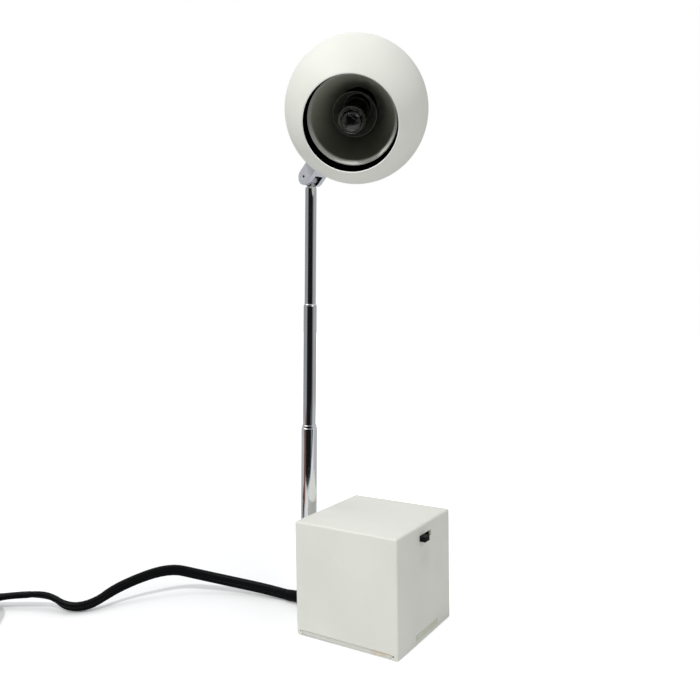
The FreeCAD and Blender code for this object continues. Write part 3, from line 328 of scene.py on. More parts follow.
def enamel(name, tint, cube_worn_and_shaded=False):
    """Satin sprayed enamel with a fine orange peel, a little uneven with age. On the ball the
    lip's cut face is a painted highlight and the inner surface is painted shade; on the cube,
    besides rubbed edges and specks, the knob casts a painted shadow and the inner faces are
    painted shade.
    """
    shade = Shade(name, coat_roughness=0.35, coat_ior=1.45, specular_ior_level=0.35)
    cloud = shade.noise(0.045, 2.0, 0.55)
    fleck = shade.noise(0.0011, 2.0).step(0.71, 0.78)
    base = shade.mixed(cloud.step(0.3, 0.72), scaled(tint, 0.972), scaled(tint, 1.02))
    base = shade.mixed(fleck * 0.30, base, scaled(tint, 0.62))
    smear = shade.noise(0.016, 3.0, 0.6, distortion=0.6).step(0.42, 0.68)
    if not cube_worn_and_shaded:
        x, y, z = shade.within(MOUTH)
        distance = (x * x + y * y + z * z).math("SQRT")
        # painted highlight on the lip's cut face round the mouth, then painted shade on the ball's
        # inner surface
        base = shade.mixed(1.0 - distance.step(0.0457, 0.0459), base, PAINTED_LIP_HIGHLIGHT)
        base = shade.mixed(distance.step(0.04524, 0.04530), PAINTED_SHADE, base)
    else:
        worn = cube_wear(shade)
        base = shade.mixed(worn * 0.55, base, scaled(tint, 0.66))
        base = shade.mixed(shade.noise(0.0006, 2.0).step(0.66, 0.74) * 0.12, base,
                           scaled(tint, 0.7))
        # painted shadow of the knob on the face below it
        base = shade.mixed(knob_painted_shadow(shade) * 0.10, base, scaled(tint, 0.5))
        # painted shade on the cube's hidden inner faces and in the edges of its openings
        base = shade.mixed(cube_painted_shade(shade), base, PAINTED_SHADE)
    shade.feed("Base Color", base)
    shade.feed("Roughness", 0.50 + smear * 0.07)
    shade.feed("Coat Weight", 0.06 + smear * -0.03)
    peel = shade.noise(0.0009, 2.0, 0.45) + shade.noise(0.006, 1.0) * 1.6
    shade.bump(peel, 0.000045)
    return shade.material


def cube_wear(shade):
    """Rubbed spots along the cube's edges, where two of its faces meet."""
    x, y, z = shade.axes()
    off = [abs(x), abs(y), abs(z - CUBE_HALF)]
    near = [axis.step(0.0372, 0.0380) for axis in off]
    edge = (near[0] * near[1]).math("MAXIMUM", near[1] * near[2])
    edge = edge.math("MAXIMUM", near[0] * near[2])
    spots = shade.noise(0.0035, 4.0, 0.65).step(0.60, 0.68)
    return edge * spots


def cube_painted_shade(shade):
    """Painted shade: one on the hidden inner faces of the cube and in the edges of its openings.
    """
    x, y, z = shade.axes()
    return (1.0 - abs(x).step(0.0368, 0.0370)) * (1.0 - abs(y).step(0.0368, 0.0370)) * (
        1.0 - z.step(0.0749, 0.0751))


def knob_painted_shadow(shade):
    """A faint painted shadow of the knob on the switch face below it."""
    x, y, z = shade.axes()
    face = 1.0 - y.step(-0.0376, -0.0370)
    round_about = ((x * x + (z - 0.053) * (z - 0.053)).math("SQRT")
                   + (shade.noise(0.006, 3.0) - 0.5) * 0.006)
    return face * (1.0 - round_about.step(0.003, 0.010))


def flange_enamel(name, tint, stain):
    """The bottom plate's enamel, stained with age just below the cube's edge."""
    shade = Shade(name, coat_weight=0.1, specular_ior_level=0.4)
    _, y, z = shade.axes()
    blot = shade.noise(0.004, 4.0, 0.6, distortion=0.8)
    patch = y.step(-0.0330, -0.0305) * (1.0 - y.step(-0.0195, -0.0170))
    creep = (blot + patch * 0.30 + z.step(0.0015, 0.0033) * 0.12).step(0.72, 0.90)
    tone = shade.mixed(shade.noise(0.02, 2.0), scaled(tint, 0.93), tint)
    shade.feed("Base Color", shade.mixed(creep, tone, stain))
    shade.feed("Roughness", 0.45 + creep * 0.3)
    shade.bump(shade.noise(0.0009, 2.0) + creep * 0.4, 0.00006)
    return shade.material


def knuckle_plate(name, tint, place):
    """Satin plating of a knuckle, with painted shade dark in the slot and in the dimples of its
    pin.
    """
    shade = Shade(name, metallic=0.75)
    x, y, z = shade.within(place)
    slot = (1.0 - abs(x).step(0.0033, 0.0034)) * (1.0 - z.step(0.0059, 0.0060))
    from_pin = (y * y + z * z).math("SQRT")
    dimple = 1.0 - from_pin.step(0.00093, 0.00097)
    grain = shade.noise(0.0006, 3.0, 0.6)
    haze = shade.noise(0.008, 3.0, 0.6, distortion=0.4).step(0.4, 0.75)
    tone = shade.mixed(haze, tint, scaled(tint, 0.92))
    # painted shade in the slot and in the pin's dimples
    dark = slot.math("MAXIMUM", dimple * 0.7)
    shade.feed("Base Color", shade.mixed(dark, tone, PAINTED_SHADE))
    shade.feed("Roughness", 0.36 + haze * 0.06 + grain * 0.05)
    shade.bump(grain, 0.000012)
    return shade.material


def plated(name, tint, roughness, pits=0.0, drawn=(1, 1, 1)):
    """Bright plating: polish marks along the drawing, haze and a few pits."""
    shade = Shade(name, metallic=1.0)
    marks = shade.noise(0.0006, 3.0, 0.6, at=shade.stretched(*drawn))
    haze = shade.noise(0.011, 3.0, 0.6, distortion=0.4).step(0.4, 0.75)
    spots = shade.noise(0.0011, 2.0, 0.5).step(0.735, 0.77) * pits
    tone = shade.mixed(haze, tint, scaled(tint, 0.95))
    shade.feed("Base Color", shade.mixed(spots, tone, PIT))
    shade.feed("Roughness", roughness + haze * 0.035 + marks * 0.03 + spots * 0.4)
    shade.bump(marks + spots * -2.0, 0.000006)
    return shade.material


def brushed(name, tint, roughness, grain=0.0005, lines=(1, 1, 1), metallic=1.0):
    """Plain metal with fine lines and patches of tarnish."""
    shade = Shade(name, metallic=metallic)
    lined = shade.noise(grain, 4.0, 0.65, at=shade.stretched(*lines))
    dull = shade.noise(0.004, 3.0, 0.6).step(0.45, 0.7)
    tone = shade.mixed(lined, scaled(tint, 0.8), scaled(tint, 1.1))
    shade.feed("Base Color", shade.mixed(dull * 0.4, tone, scaled(tint, 0.6)))
    shade.feed("Roughness", roughness + lined * 0.12 + dull * 0.1)
    shade.bump(lined, 0.00002)
    return shade.material


def moulded(name, tint, roughness, depth=0.00003, mottle=0.12):
    """Moulded or cast plastic, rubber or paint with its fine grain."""
    shade = Shade(name, specular_ior_level=0.5)
    fine = shade.noise(0.0004, 2.0, 0.5)
    broad = shade.noise(0.009, 3.0, 0.6)
    tone = shade.mixed(broad, scaled(tint, 1.0 - mottle), scaled(tint, 1.0 + mottle))
    shade.feed("Base Color", tone)
    shade.feed("Roughness", roughness + broad * 0.14 + fine * -0.06)
    shade.bump(fine, depth)
    return shade.material


def reflector_paint_with_painted_light(name, tint, low, high, roughness):
    """The reflector's satin paint, with painted light: darker deeper below its rim as painted
    shade, lighter towards the top and darker towards the bottom, and a painted highlight on the
    rim's lower side.
    """
    shade = Shade(name, specular_ior_level=0.5, coat_roughness=0.3)
    out = shade.within(MOUTH)[2]
    dust = shade.noise(0.0016, 4.0, 0.7).step(0.5, 0.8)
    cloud = shade.noise(0.014, 2.0)
    # painted light: the deep paint lighter towards the top and darker towards the bottom
    above = Value(shade, shade.vector_math("DOT_PRODUCT", shade.place, MOUTH_UP))
    above = (above - MOUTH.translation.dot(MOUTH_UP)).step(-0.024, 0.024)
    deep = shade.mixed(above, low, high)
    # painted shade: darker deeper in the cup than a band at the rim
    painted_light_near_rim = (out + cloud * 0.0008 - 0.0004).step(0.0205, 0.0240)
    # painted highlight on the rim's lower side, darker above
    rim = shade.mixed(above * 2.0, scaled(tint, 1.35), scaled(tint, 0.75))
    tone = shade.mixed(cloud * 0.15, shade.mixed(painted_light_near_rim, deep, rim), deep)
    shade.feed("Base Color", shade.mixed(dust * 0.06, tone, tint))
    shade.feed("Roughness", roughness + dust * 0.2)
    shade.feed("Coat Weight", 0.3 + dust * -0.2)
    shade.bump(shade.noise(0.0007, 2.0), 0.00002)
    return shade.material


def shield_paint_with_rim_shade(name, tint):
    """The inner shield's dark paint, with painted shade along its rim."""
    shade = Shade(name, specular_ior_level=0.35)
    # painted shade: a darker band along the rim
    rim = shade.within(MOUTH)[2].step(0.0096, 0.0104)
    dust = shade.noise(0.0016, 4.0, 0.7).step(0.5, 0.8)
    tone = shade.mixed(rim, tint, scaled(tint, 0.45))
    shade.feed("Base Color", shade.mixed(dust * 0.12, tone, scaled(tint, 1.5)))
    shade.feed("Roughness", 0.45 + dust * 0.2)
    shade.bump(shade.noise(0.0007, 2.0), 0.00002)
    return shade.material


def vinyl(name, tint):
    """Glossy flexible vinyl with handling marks."""
    shade = Shade(name, specular_ior_level=0.08)
    marks = shade.noise(0.007, 4.0, 0.6, distortion=0.5).step(0.45, 0.75)
    fine = shade.noise(0.0008, 3.0, 0.55)
    shade.feed("Base Color", shade.mixed(marks, tint, scaled(tint, 1.7)))
    shade.feed("Roughness", 0.36 + marks * 0.16 + fine * 0.05)
    shade.bump(fine, 0.00002)
    return shade.material


def bulb_glass(name):
    """Thin clear glass with faint smears."""
    shade = Shade(name, transmission_weight=1.0, ior=1.45, base_color=(0.97, 0.98, 0.97, 1.0))
    smear = shade.noise(0.006, 3.0, 0.6, distortion=0.5).step(0.5, 0.8)
    shade.feed("Roughness", 0.01 + smear * 0.05)
    shade.bump(shade.noise(0.009, 1.0), 0.00003)
    return shade.material


def metal_finishes(colours):
    chrome = colours.chrome
    return {
        "chrome": plated("chrome_plate", chrome, 0.055, 0.8, (1, 1, 0.03)),
        "screw_steel": brushed("screw_steel", (0.52, 0.52, 0.53), 0.28),
        "washer_metal": brushed("washer_metal", (0.60, 0.59, 0.56), 0.25),
        "contact_brass": brushed("contact_brass", (0.68, 0.49, 0.22), 0.22),
        "blade_metal": brushed("blade_metal", (0.72, 0.60, 0.36), 0.2, lines=(1, 0.1, 1)),
        "core_steel": brushed("core_steel", (0.23, 0.23, 0.24), 0.45, lines=(0.2, 1, 0.2)),
        "dark_metal": brushed("dark_metal", (0.06, 0.06, 0.062), 0.5),
        "socket_metal": brushed("socket_metal", (0.05, 0.045, 0.035), 0.5, metallic=0.6),
        "filament_wire": brushed("filament_wire", (0.36, 0.35, 0.36), 0.35, grain=0.0001),
        "winding_copper": brushed("winding_copper", (0.60, 0.25, 0.11), 0.3,
                                  grain=0.0003, lines=(0.1, 0.1, 1)),
    }


def plastic_finishes(colours):
    return {
        "pad_rubber": moulded("pad_rubber", (0.022, 0.022, 0.022), 0.78, depth=0.00008),
        "strip_plastic": moulded("strip_plastic", colours.strip, 0.42, mottle=0.05),
        "bobbin_plastic": moulded("bobbin_plastic", (0.60, 0.57, 0.48), 0.45),
        "insulator": moulded("insulator", (0.42, 0.19, 0.09), 0.5),
        "black_plastic": vinyl("black_plastic", colours.knob),
        "tie_wire": moulded("tie_wire", (0.30, 0.30, 0.29), 0.45),
        "cord_vinyl": vinyl("cord_vinyl", colours.cord),
    }


def paint_finishes(colours):
    return {
        "shell_paint": enamel("white_enamel", colours.enamel),
        "reflector_paint": reflector_paint_with_painted_light("reflector_paint", colours.reflector,
                                      CUP_PAINTED_SHADE_BELOW, CUP_PAINTED_LIGHT_ABOVE, 0.42),
        "baffle_metal": shield_paint_with_rim_shade("shield_paint_with_rim_shade", colours.shield),
    }


def dress(finishes):
    """Give the CAD nodes of these material slots their finishes."""
    dressed = 0
    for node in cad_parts.values():
        slot = node.data.materials[0].name
        if slot in finishes:
            node.material_slots[0].link = "OBJECT"
            node.material_slots[0].material = finishes[slot]
            dressed += 1
    if not dressed:
        raise RuntimeError("no node carries any of " + ", ".join(finishes))


def finish_of(slot):
    """The material that dress() gave the nodes of a slot."""
    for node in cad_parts.values():
        if node.data.materials[0].name == slot:
            return node.material_slots[0].material
    raise RuntimeError("no node carries the slot " + slot)


# ---- making meshes ----
def new_object(name, data):
    made = bpy.data.objects.new(name, data)
    bpy.context.scene.collection.objects.link(made)
    return made


def modifier_tree(name, inputs):
    """A Geometry Nodes tree with named inputs, its builder and those inputs."""
    tree = bpy.data.node_groups.new(name, "GeometryNodeTree")
    tree.interface.new_socket("Geometry", in_out="OUTPUT", socket_type="NodeSocketGeometry")
    for label, default in inputs.items():
        kind = "NodeSocketInt" if isinstance(default, int) else "NodeSocketFloat"
        socket = tree.interface.new_socket(label, in_out="INPUT", socket_type=kind)
        socket.default_value = default
    builder = Builder(tree)
    entry = tree.nodes.new("NodeGroupInput")
    values = {label: Value(builder, entry.outputs[label]) for label in inputs}
    return tree, builder, values


def end_tree(builder, geometry, material, smooth=True):
    real = builder.node("GeometryNodeRealizeInstances", None, {"Geometry": geometry})
    shown = builder.node("GeometryNodeSetShadeSmooth", None,
                         {"Geometry": real.outputs[0], "Shade Smooth": smooth})
    painted = builder.node("GeometryNodeSetMaterial", None,
                           {"Geometry": shown.outputs[0], "Material": material})
    builder.node("NodeGroupOutput", None, {"Geometry": painted.outputs[0]})


def grown(name, tree, inputs, place, finishing=None):
    """Run a tree with these inputs, finish it, and keep the result as a plain mesh."""
    seed = new_object(name + "_seed", bpy.data.meshes.new(name + "_seed"))
    modifier = seed.modifiers.new("shape", "NODES")
    modifier.node_group = tree
    for item in tree.interface.items_tree:
        if item.in_out == "INPUT" and item.name in inputs:
            modifier[item.identifier] = inputs[item.name]
    if finishing:
        finishing(seed)
    depsgraph = bpy.context.evaluated_depsgraph_get()
    mesh = bpy.data.meshes.new_from_object(seed.evaluated_get(depsgraph))
    bpy.data.objects.remove(seed)
    mesh.name = name
    mesh.transform(place)
    if not mesh.polygons:
        raise RuntimeError(name + " came out empty")
    return new_object(name, mesh)


def lathed(builder, columns, rows, outline):
    """A grid wrapped about Z. The outline gives radius and height from 0 to 1."""
    sheet = builder.node("GeometryNodeMeshGrid", None, {
        "Size X": 1.0, "Size Y": 1.0, "Vertices X": columns + 1, "Vertices Y": rows + 1})
    place = builder.node("GeometryNodeInputPosition").outputs[0]
    parts = builder.node("ShaderNodeSeparateXYZ", None, {0: place}).outputs
    round_about = Value(builder, parts[0]) * (-2.0 * math.pi)
    radius, height = outline(Value(builder, parts[1]) + 0.5)
    wrapped = builder.combined(
        radius * round_about.math("COSINE"), radius * round_about.math("SINE"), height)
    placed = builder.node("GeometryNodeSetPosition", None,
                          {"Geometry": sheet.outputs["Mesh"], "Position": wrapped})
    closed = builder.node("GeometryNodeMergeByDistance", None,
                          {"Geometry": placed.outputs[0], "Distance": 1e-6})
    return closed.outputs[0]


def wired(builder, curve, radius, sides):
    """A round wire along a curve, with closed ends."""
    section = builder.node("GeometryNodeCurvePrimitiveCircle", None,
                           {"Resolution": sides, "Radius": radius})
    made = builder.node("GeometryNodeCurveToMesh", None, {
        "Curve": curve, "Profile Curve": section.outputs[0], "Fill Caps": True})
    return made.outputs[0]


def moved(builder, geometry, translation=(0, 0, 0), rotation=(0, 0, 0)):
    made = builder.node("GeometryNodeTransform", None, {
        "Geometry": geometry, "Translation": translation, "Rotation": rotation})
    return made.outputs[0]


def joined(builder, *parts):
    made = builder.node("GeometryNodeJoinGeometry")
    for part in parts:
        builder.tree.links.new(part, made.inputs[0])
    return made.outputs[0]


def row(builder, piece, number, start, step):
    """Copies of a piece in a straight row."""
    line = builder.node("GeometryNodeMeshLine", None, {
        "Count": number, "Start Location": start, "Offset": step})
    made = builder.node("GeometryNodeInstanceOnPoints", None,
                        {"Points": line.outputs[0], "Instance": piece})
    return made.outputs[0]


def settle(piece, body, slot, *nodes):
    """Put a finished piece on its body and hide the nodes it stands for. The slot is not used."""
    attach(piece, body)
    if nodes:
        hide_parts(*nodes)
    return piece


# ---- ball ----
def ball_tree(material):
    tree, builder, inputs = modifier_tree("ball shell", {
        "Radius": 0.046, "Mouth Angle": 0.68, "Rear Hole": 0.0016,
        "Columns": 160, "Rows": 96})
    start = inputs["Mouth Angle"]
    stop = math.pi - inputs["Rear Hole"] / inputs["Radius"]

    def outline(share):
        polar = start + share * (stop - start)
        radius = inputs["Radius"]
        return radius * polar.math("SINE"), radius * polar.math("COSINE")

    shell = lathed(builder, inputs["Columns"], inputs["Rows"], outline)
    end_tree(builder, shell, material)
    return tree


def ball_finishing(sizes, cutter):
    def add(seed):
        wall = seed.modifiers.new("wall", "SOLIDIFY")
        wall.thickness = sizes.ball_wall
        wall.offset = -1.0
        lip = seed.modifiers.new("lip", "BEVEL")
        lip.width = sizes.lip_round
        lip.segments = 3
        lip.limit_method = "ANGLE"
        lip.angle_limit = math.radians(60)
        hole = seed.modifiers.new("hole", "BOOLEAN")
        hole.operation = "DIFFERENCE"
        hole.solver = "EXACT"
        hole.object = cutter
    return add


def nipple_cutter():
    """A cylinder through the ball's wall where the hollow stem enters it."""
    tree, builder, inputs = modifier_tree("stem hole", {"Radius": 0.00305})
    solid = builder.node("GeometryNodeMeshCylinder", None, {
        "Vertices": 48, "Radius": inputs["Radius"], "Depth": 0.012})
    end_tree(builder, solid.outputs["Mesh"], None, False)
    place = turned("X", -MOUTH_TURN) @ Matrix.Translation((0, 0, -0.0456))
    return grown("stem_hole", tree, {}, place)


class LAMP_OT_ball(bpy.types.Operator):
    """Make the ball with its mouth, rounded lip, rear hole and stem hole"""

    bl_idname = "lamp.ball"
    bl_label = "Ball"

    def execute(self, context):
        sizes = context.scene.lamp_sizes
        cutter = nipple_cutter()
        tree = ball_tree(finish_of("shell_paint"))
        values = {"Radius": sizes.ball_radius, "Mouth Angle": sizes.mouth_angle}
        ball = grown("ball", tree, values, MOUTH, ball_finishing(sizes, cutter))
        bpy.data.objects.remove(cutter)
        settle(ball, "head", "shell_paint", "ball_shell")
        return {"FINISHED"}


# ---- bulb wire ----
def filament_tree(material):
    tree, builder, inputs = modifier_tree("bulb wire", {
        "Turns": 22, "Half Width": 0.0032, "Height": 0.019, "Foot": 0.0,
        "Coil Radius": 0.00045, "Wire Radius": 0.00012, "Post Radius": 0.0003})
    half = inputs["Half Width"]
    spiral = builder.node("GeometryNodeCurveSpiral", None, {
        "Resolution": 14, "Rotations": inputs["Turns"], "Start Radius": inputs["Coil Radius"],
        "End Radius": inputs["Coil Radius"], "Height": half * 2.0})
    coil = wired(builder, spiral.outputs[0], inputs["Wire Radius"], 6)
    across = builder.combined(-1.0 * half, z=inputs["Height"])
    parts = [moved(builder, coil, across, (0, math.pi / 2, 0))]
    for side in (-1.0, 1.0):
        low = builder.combined(half * (0.5 * side), z=inputs["Foot"])
        bend = builder.combined(half * (0.95 * side), z=inputs["Height"] * 0.72)
        top = builder.combined(half * side, z=inputs["Height"] + 0.0006)
        for start, stop in ((low, bend), (bend, top)):
            line = builder.node("GeometryNodeCurvePrimitiveLine", None,
                                {"Start": start, "End": stop})
            parts.append(wired(builder, line.outputs[0], inputs["Post Radius"], 10))
    end_tree(builder, joined(builder, *parts), material)
    return tree


class LAMP_OT_bulb_wire(bpy.types.Operator):
    """Make the bulb's coiled wire and its two posts"""

    bl_idname = "lamp.bulb_wire"
    bl_label = "Bulb wire"

    def execute(self, context):
        tree = filament_tree(finish_of("filament_wire"))
        values = {"Turns": context.scene.lamp_sizes.wire_turns}
        wire = grown("bulb_wire", tree, values, MOUTH)
        settle(wire, "head", "filament_wire", "filament")
        return {"FINISHED"}


# ---- strain relief ----
def boot_tree(material):
    tree, builder, inputs = modifier_tree("strain relief", {
        "Length": 0.038, "Root Radius": 0.0049, "Tip Radius": 0.0039,
        "Ribs": 24, "Groove": 0.0004, "Tip Bore": 0.0030})
    run = inputs["Length"]

    def outline(share):
        """Flange inside the wall, neck, ribbed taper, and the tip turned in."""
        height = run * share.math("SUBTRACT", 0.07) * (1.0 / 0.93)
        reach = height / run
        taper = inputs["Root Radius"] + reach * (inputs["Tip Radius"] - inputs["Root Radius"])
        ribbed = reach.step(0.06, 0.08) * (1.0 - reach.step(0.93, 0.95))
        wave = ((reach - 0.07) * (inputs["Ribs"] * (2.0 * math.pi / 0.87))).math("COSINE")
        groove = (wave * -1.0).step(0.1, 0.6) * ribbed * inputs["Groove"]
        inner = reach.step(0.985, 1.0) * (inputs["Tip Radius"] - inputs["Tip Bore"])
        neck = (1.0 - height.step(-0.0001, 0.0001)) * 0.0005
        return taper - groove - inner - neck, height

    skin = lathed(builder, 48, 420, outline)
    end_tree(builder, skin, material)
    return tree


class LAMP_OT_boot(bpy.types.Operator):
    """Make the ribbed strain relief where the cord leaves the cube"""

    bl_idname = "lamp.boot"
    bl_label = "Strain relief"

    def execute(self, context):
        sizes = context.scene.lamp_sizes
        tree = boot_tree(finish_of("cord_vinyl"))
        values = {"Length": sizes.boot_length, "Ribs": sizes.boot_ribs}
        boot = grown("strain_relief", tree, values, BOOT)
        settle(boot, "base", "cord_vinyl", "cord_boot")
        return {"FINISHED"}


# ---- cord ----
def smooth_share(share):
    share = min(1.0, max(0.0, share))
    return share * share * (3.0 - 2.0 * share)


def coil_points():
    """Control points of the coil: each turn keeps its place, then eases into the next."""
    points = []
    swell = math.cos(math.radians(COIL_STEP / 2))
    total = 360.0 * (len(COIL_TURNS) - 1) + COIL_LAST
    steps = round(total / COIL_STEP)
    for i in range(steps + 1):
        degrees = total * i / steps
        turn = int(degrees // 360)
        here = COIL_TURNS[turn]
        after = COIL_TURNS[min(turn + 1, len(COIL_TURNS) - 1)]
        ease = smooth_share((degrees % 360 - COIL_EASE) / (360.0 - COIL_EASE))
        radius = (here[0] + ease * (after[0] - here[0])) / swell
        height = here[1] + ease * (after[1] - here[1])
        a = math.radians(COIL_FROM + degrees)
        points.append((COIL_CENTRE[0] + radius * math.cos(a),
                       COIL_CENTRE[1] + radius * math.sin(a), height))
    return points


def coil_end():
    """Where the coil's last turn stops on the table, and the way it heads there."""
    a = math.radians(COIL_FROM + COIL_LAST)
    radius = COIL_TURNS[-1][0]
    stop = Vector((COIL_CENTRE[0] + radius * math.cos(a),
                   COIL_CENTRE[1] + radius * math.sin(a), 0))
    return stop, Vector((-math.sin(a), math.cos(a), 0))


def cord_line():
    """The cord's control points, from the strain relief through the coil to the plug."""
    stop, heading = coil_end()
    tail = [(*(stop + heading * run).xy, height) for run, height in TAIL]
    return list(ROUTE) + coil_points()[1:] + tail


def spline_points(name, control):
    """Points along the NURBS spline through a cord's control points."""
    curve = bpy.data.curves.new(name, "CURVE")
    curve.dimensions = "3D"
    curve.resolution_u = 6
    spline = curve.splines.new("NURBS")
    spline.points.add(len(control) - 1)
    for point, place in zip(spline.points, control):
        point.co = (*place, 1.0)
    spline.order_u = 3
    spline.use_endpoint_u = True
    holder = new_object(name, curve)
    depsgraph = bpy.context.evaluated_depsgraph_get()
    line = bpy.data.meshes.new_from_object(holder.evaluated_get(depsgraph))
    points = [vertex.co.copy() for vertex in line.vertices]
    bpy.data.objects.remove(holder)
    return points


def twin_section(width, height, sides=11):
    """The outline of two round cores side by side, drawn in at the waist between them."""
    radius = height / 2
    offset = width / 2 - radius
    meet = math.acos(-offset / radius)
    outline = []
    for side in (1, -1):
        for i in range(sides):
            a = -meet + 2 * meet * i / sides
            outline.append((side * (offset + radius * math.cos(a)), side * radius * math.sin(a)))
    return outline


def roll_along(control, points):
    """The roll in radians at each point: read off the nearest control points."""
    rolls = []
    at = 0
    for point in points:
        while at < len(ROLL) - 2 and (point - Vector(control[at + 1])).length < (
                point - Vector(control[at])).length:
            at += 1
        before, after = Vector(control[at]), Vector(control[at + 1])
        span = after - before
        share = smooth_share((point - before).dot(span) / span.length_squared)
        rolls.append(math.radians(ROLL[at] + share * (ROLL[at + 1] - ROLL[at])))
    return rolls


def swept(name, points, rolls, section):
    """A closed tube of a section along points, rolled about its line."""
    vertices = []
    for i, (point, roll) in enumerate(zip(points, rolls)):
        ahead = points[min(i + 1, len(points) - 1)]
        behind = points[max(i - 1, 0)]
        tangent = (ahead - behind).normalized()
        side = Vector((0, 0, 1)).cross(tangent).normalized()
        up = tangent.cross(side)
        wide = side * math.cos(roll) + up * math.sin(roll)
        thick = up * math.cos(roll) - side * math.sin(roll)
        vertices += [point + wide * u + thick * v for u, v in section]
    number = len(section)
    faces = []
    for ring in range(len(points) - 1):
        for k in range(number):
            a = ring * number + k
            b = ring * number + (k + 1) % number
            faces.append((a, b, b + number, a + number))
    faces.append(tuple(reversed(range(number))))
    faces.append(tuple(range(len(vertices) - number, len(vertices))))
    mesh = bpy.data.meshes.new(name)
    mesh.from_pydata(vertices, [], faces)
    mesh.polygons.foreach_set("use_smooth", [True] * (len(faces) - 2) + [False] * 2)
    mesh.validate()
    return new_object(name, mesh)


class LAMP_OT_cord(bpy.types.Operator):
    """Lay the flat twin cord along its route and wind its spare length"""

    bl_idname = "lamp.cord"
    bl_label = "Cord"

    def execute(self, context):
        sizes = context.scene.lamp_sizes
        control = cord_line()
        points = spline_points("cord_route", control)
        section = twin_section(sizes.cord_width, sizes.cord_height)
        cord = swept("cord", points, roll_along(control, points), section)
        cord.data.materials.append(finish_of("cord_vinyl"))
        settle(cord, "base", "cord_vinyl", "cord_run", "cord_coil")
        return {"FINISHED"}


# ---- plug ----
def plug_place():
    """The plug's own frame at the cord's end: +Y along it, Z up."""
    stop, heading = coil_end()
    up = Vector((0, 0, 1))
    turn = Matrix((heading.cross(up), heading, up)).transposed().to_4x4()
    place = stop + heading * PLUG_FROM_COIL + up * PLUG_HEIGHT
    return Matrix.Translation(place) @ turn


def grips_tree(material):
    tree, builder, inputs = modifier_tree("plug grips", {
        "Ribs": 7, "Pitch": 0.0022, "Half Width": 0.013, "Rib Radius": 0.0006,
        "Rib Length": 0.0066, "Start": 0.0175})
    line = builder.node("GeometryNodeCurvePrimitiveLine", None, {
        "Start": (0, 0, -0.0033), "End": (0, 0, 0.0033)})
    rib = wired(builder, line.outputs[0], inputs["Rib Radius"], 12)
    sides = []
    step = builder.combined(y=inputs["Pitch"])
    for side in (-1.0, 1.0):
        start = builder.combined(inputs["Half Width"] * side, inputs["Start"])
        sides.append(row(builder, rib, inputs["Ribs"], start, step))
    end_tree(builder, joined(builder, *sides), material)
    return tree


class LAMP_OT_plug_grips(bpy.types.Operator):
    """Add the finger ribs on both sides of the plug"""

    bl_idname = "lamp.plug_grips"
    bl_label = "Plug grips"

    def execute(self, context):
        tree = grips_tree(finish_of("cord_vinyl"))
        values = {"Ribs": context.scene.lamp_sizes.grip_ribs}
        grips = grown("plug_grips", tree, values, plug_place())
        settle(grips, "base", "cord_vinyl")
        return {"FINISHED"}


# ---- transformer ----
def core_tree(material):
    tree, builder, inputs = modifier_tree("core plates", {
        "Width": 0.048, "Height": 0.040, "Leg": 0.008, "Plates": 44, "Pitch": 0.0005})
    width, tall, leg = inputs["Width"], inputs["Height"], inputs["Leg"]
    rims = [builder.node("GeometryNodeCurvePrimitiveQuadrilateral", None,
                         {"Width": width, "Height": tall}).outputs[0]]
    window_width = width * 0.5 - leg * 2.0
    for side in (-1.0, 1.0):
        window = builder.node("GeometryNodeCurvePrimitiveQuadrilateral", None,
                              {"Width": window_width, "Height": tall - leg * 2.0})
        at = builder.combined((leg + window_width * 0.5) * side)
        rims.append(moved(builder, window.outputs[0], at))
    face = builder.node("GeometryNodeFillCurve", None, {"Curve": joined(builder, *rims)})
    plate = builder.node("GeometryNodeExtrudeMesh", None, {
        "Mesh": face.outputs[0], "Offset Scale": inputs["Pitch"] * 0.8,
        "Individual": False})
    back = builder.node("GeometryNodeFlipFaces", None, {"Mesh": face.outputs[0]})
    solid = builder.node("GeometryNodeMergeByDistance", None, {
        "Geometry": joined(builder, plate.outputs[0], back.outputs[0]), "Distance": 1e-6})
    step = builder.combined(z=inputs["Pitch"])
    stack = row(builder, solid.outputs[0], inputs["Plates"], (0, 0, 0), step)
    end_tree(builder, stack, material, False)
    return tree


def winding_tree(material):
    tree, builder, inputs = modifier_tree("winding turns", {
        "Width": 0.030, "Depth": 0.036, "Corner": 0.003, "Wire Radius": 0.0003,
        "Turns": 15, "Pitch": 0.00062})
    loop = builder.node("GeometryNodeCurvePrimitiveQuadrilateral", None,
                        {"Width": inputs["Width"], "Height": inputs["Depth"]})
    round_loop = builder.node("GeometryNodeFilletCurve", {"mode": "POLY"}, {
        "Curve": loop.outputs[0], "Radius": inputs["Corner"], "Count": 6})
    wire = wired(builder, round_loop.outputs[0], inputs["Wire Radius"], 6)
    step = builder.combined(z=inputs["Pitch"])
    end_tree(builder, row(builder, wire, inputs["Turns"], (0, 0, 0), step), material)
    return tree


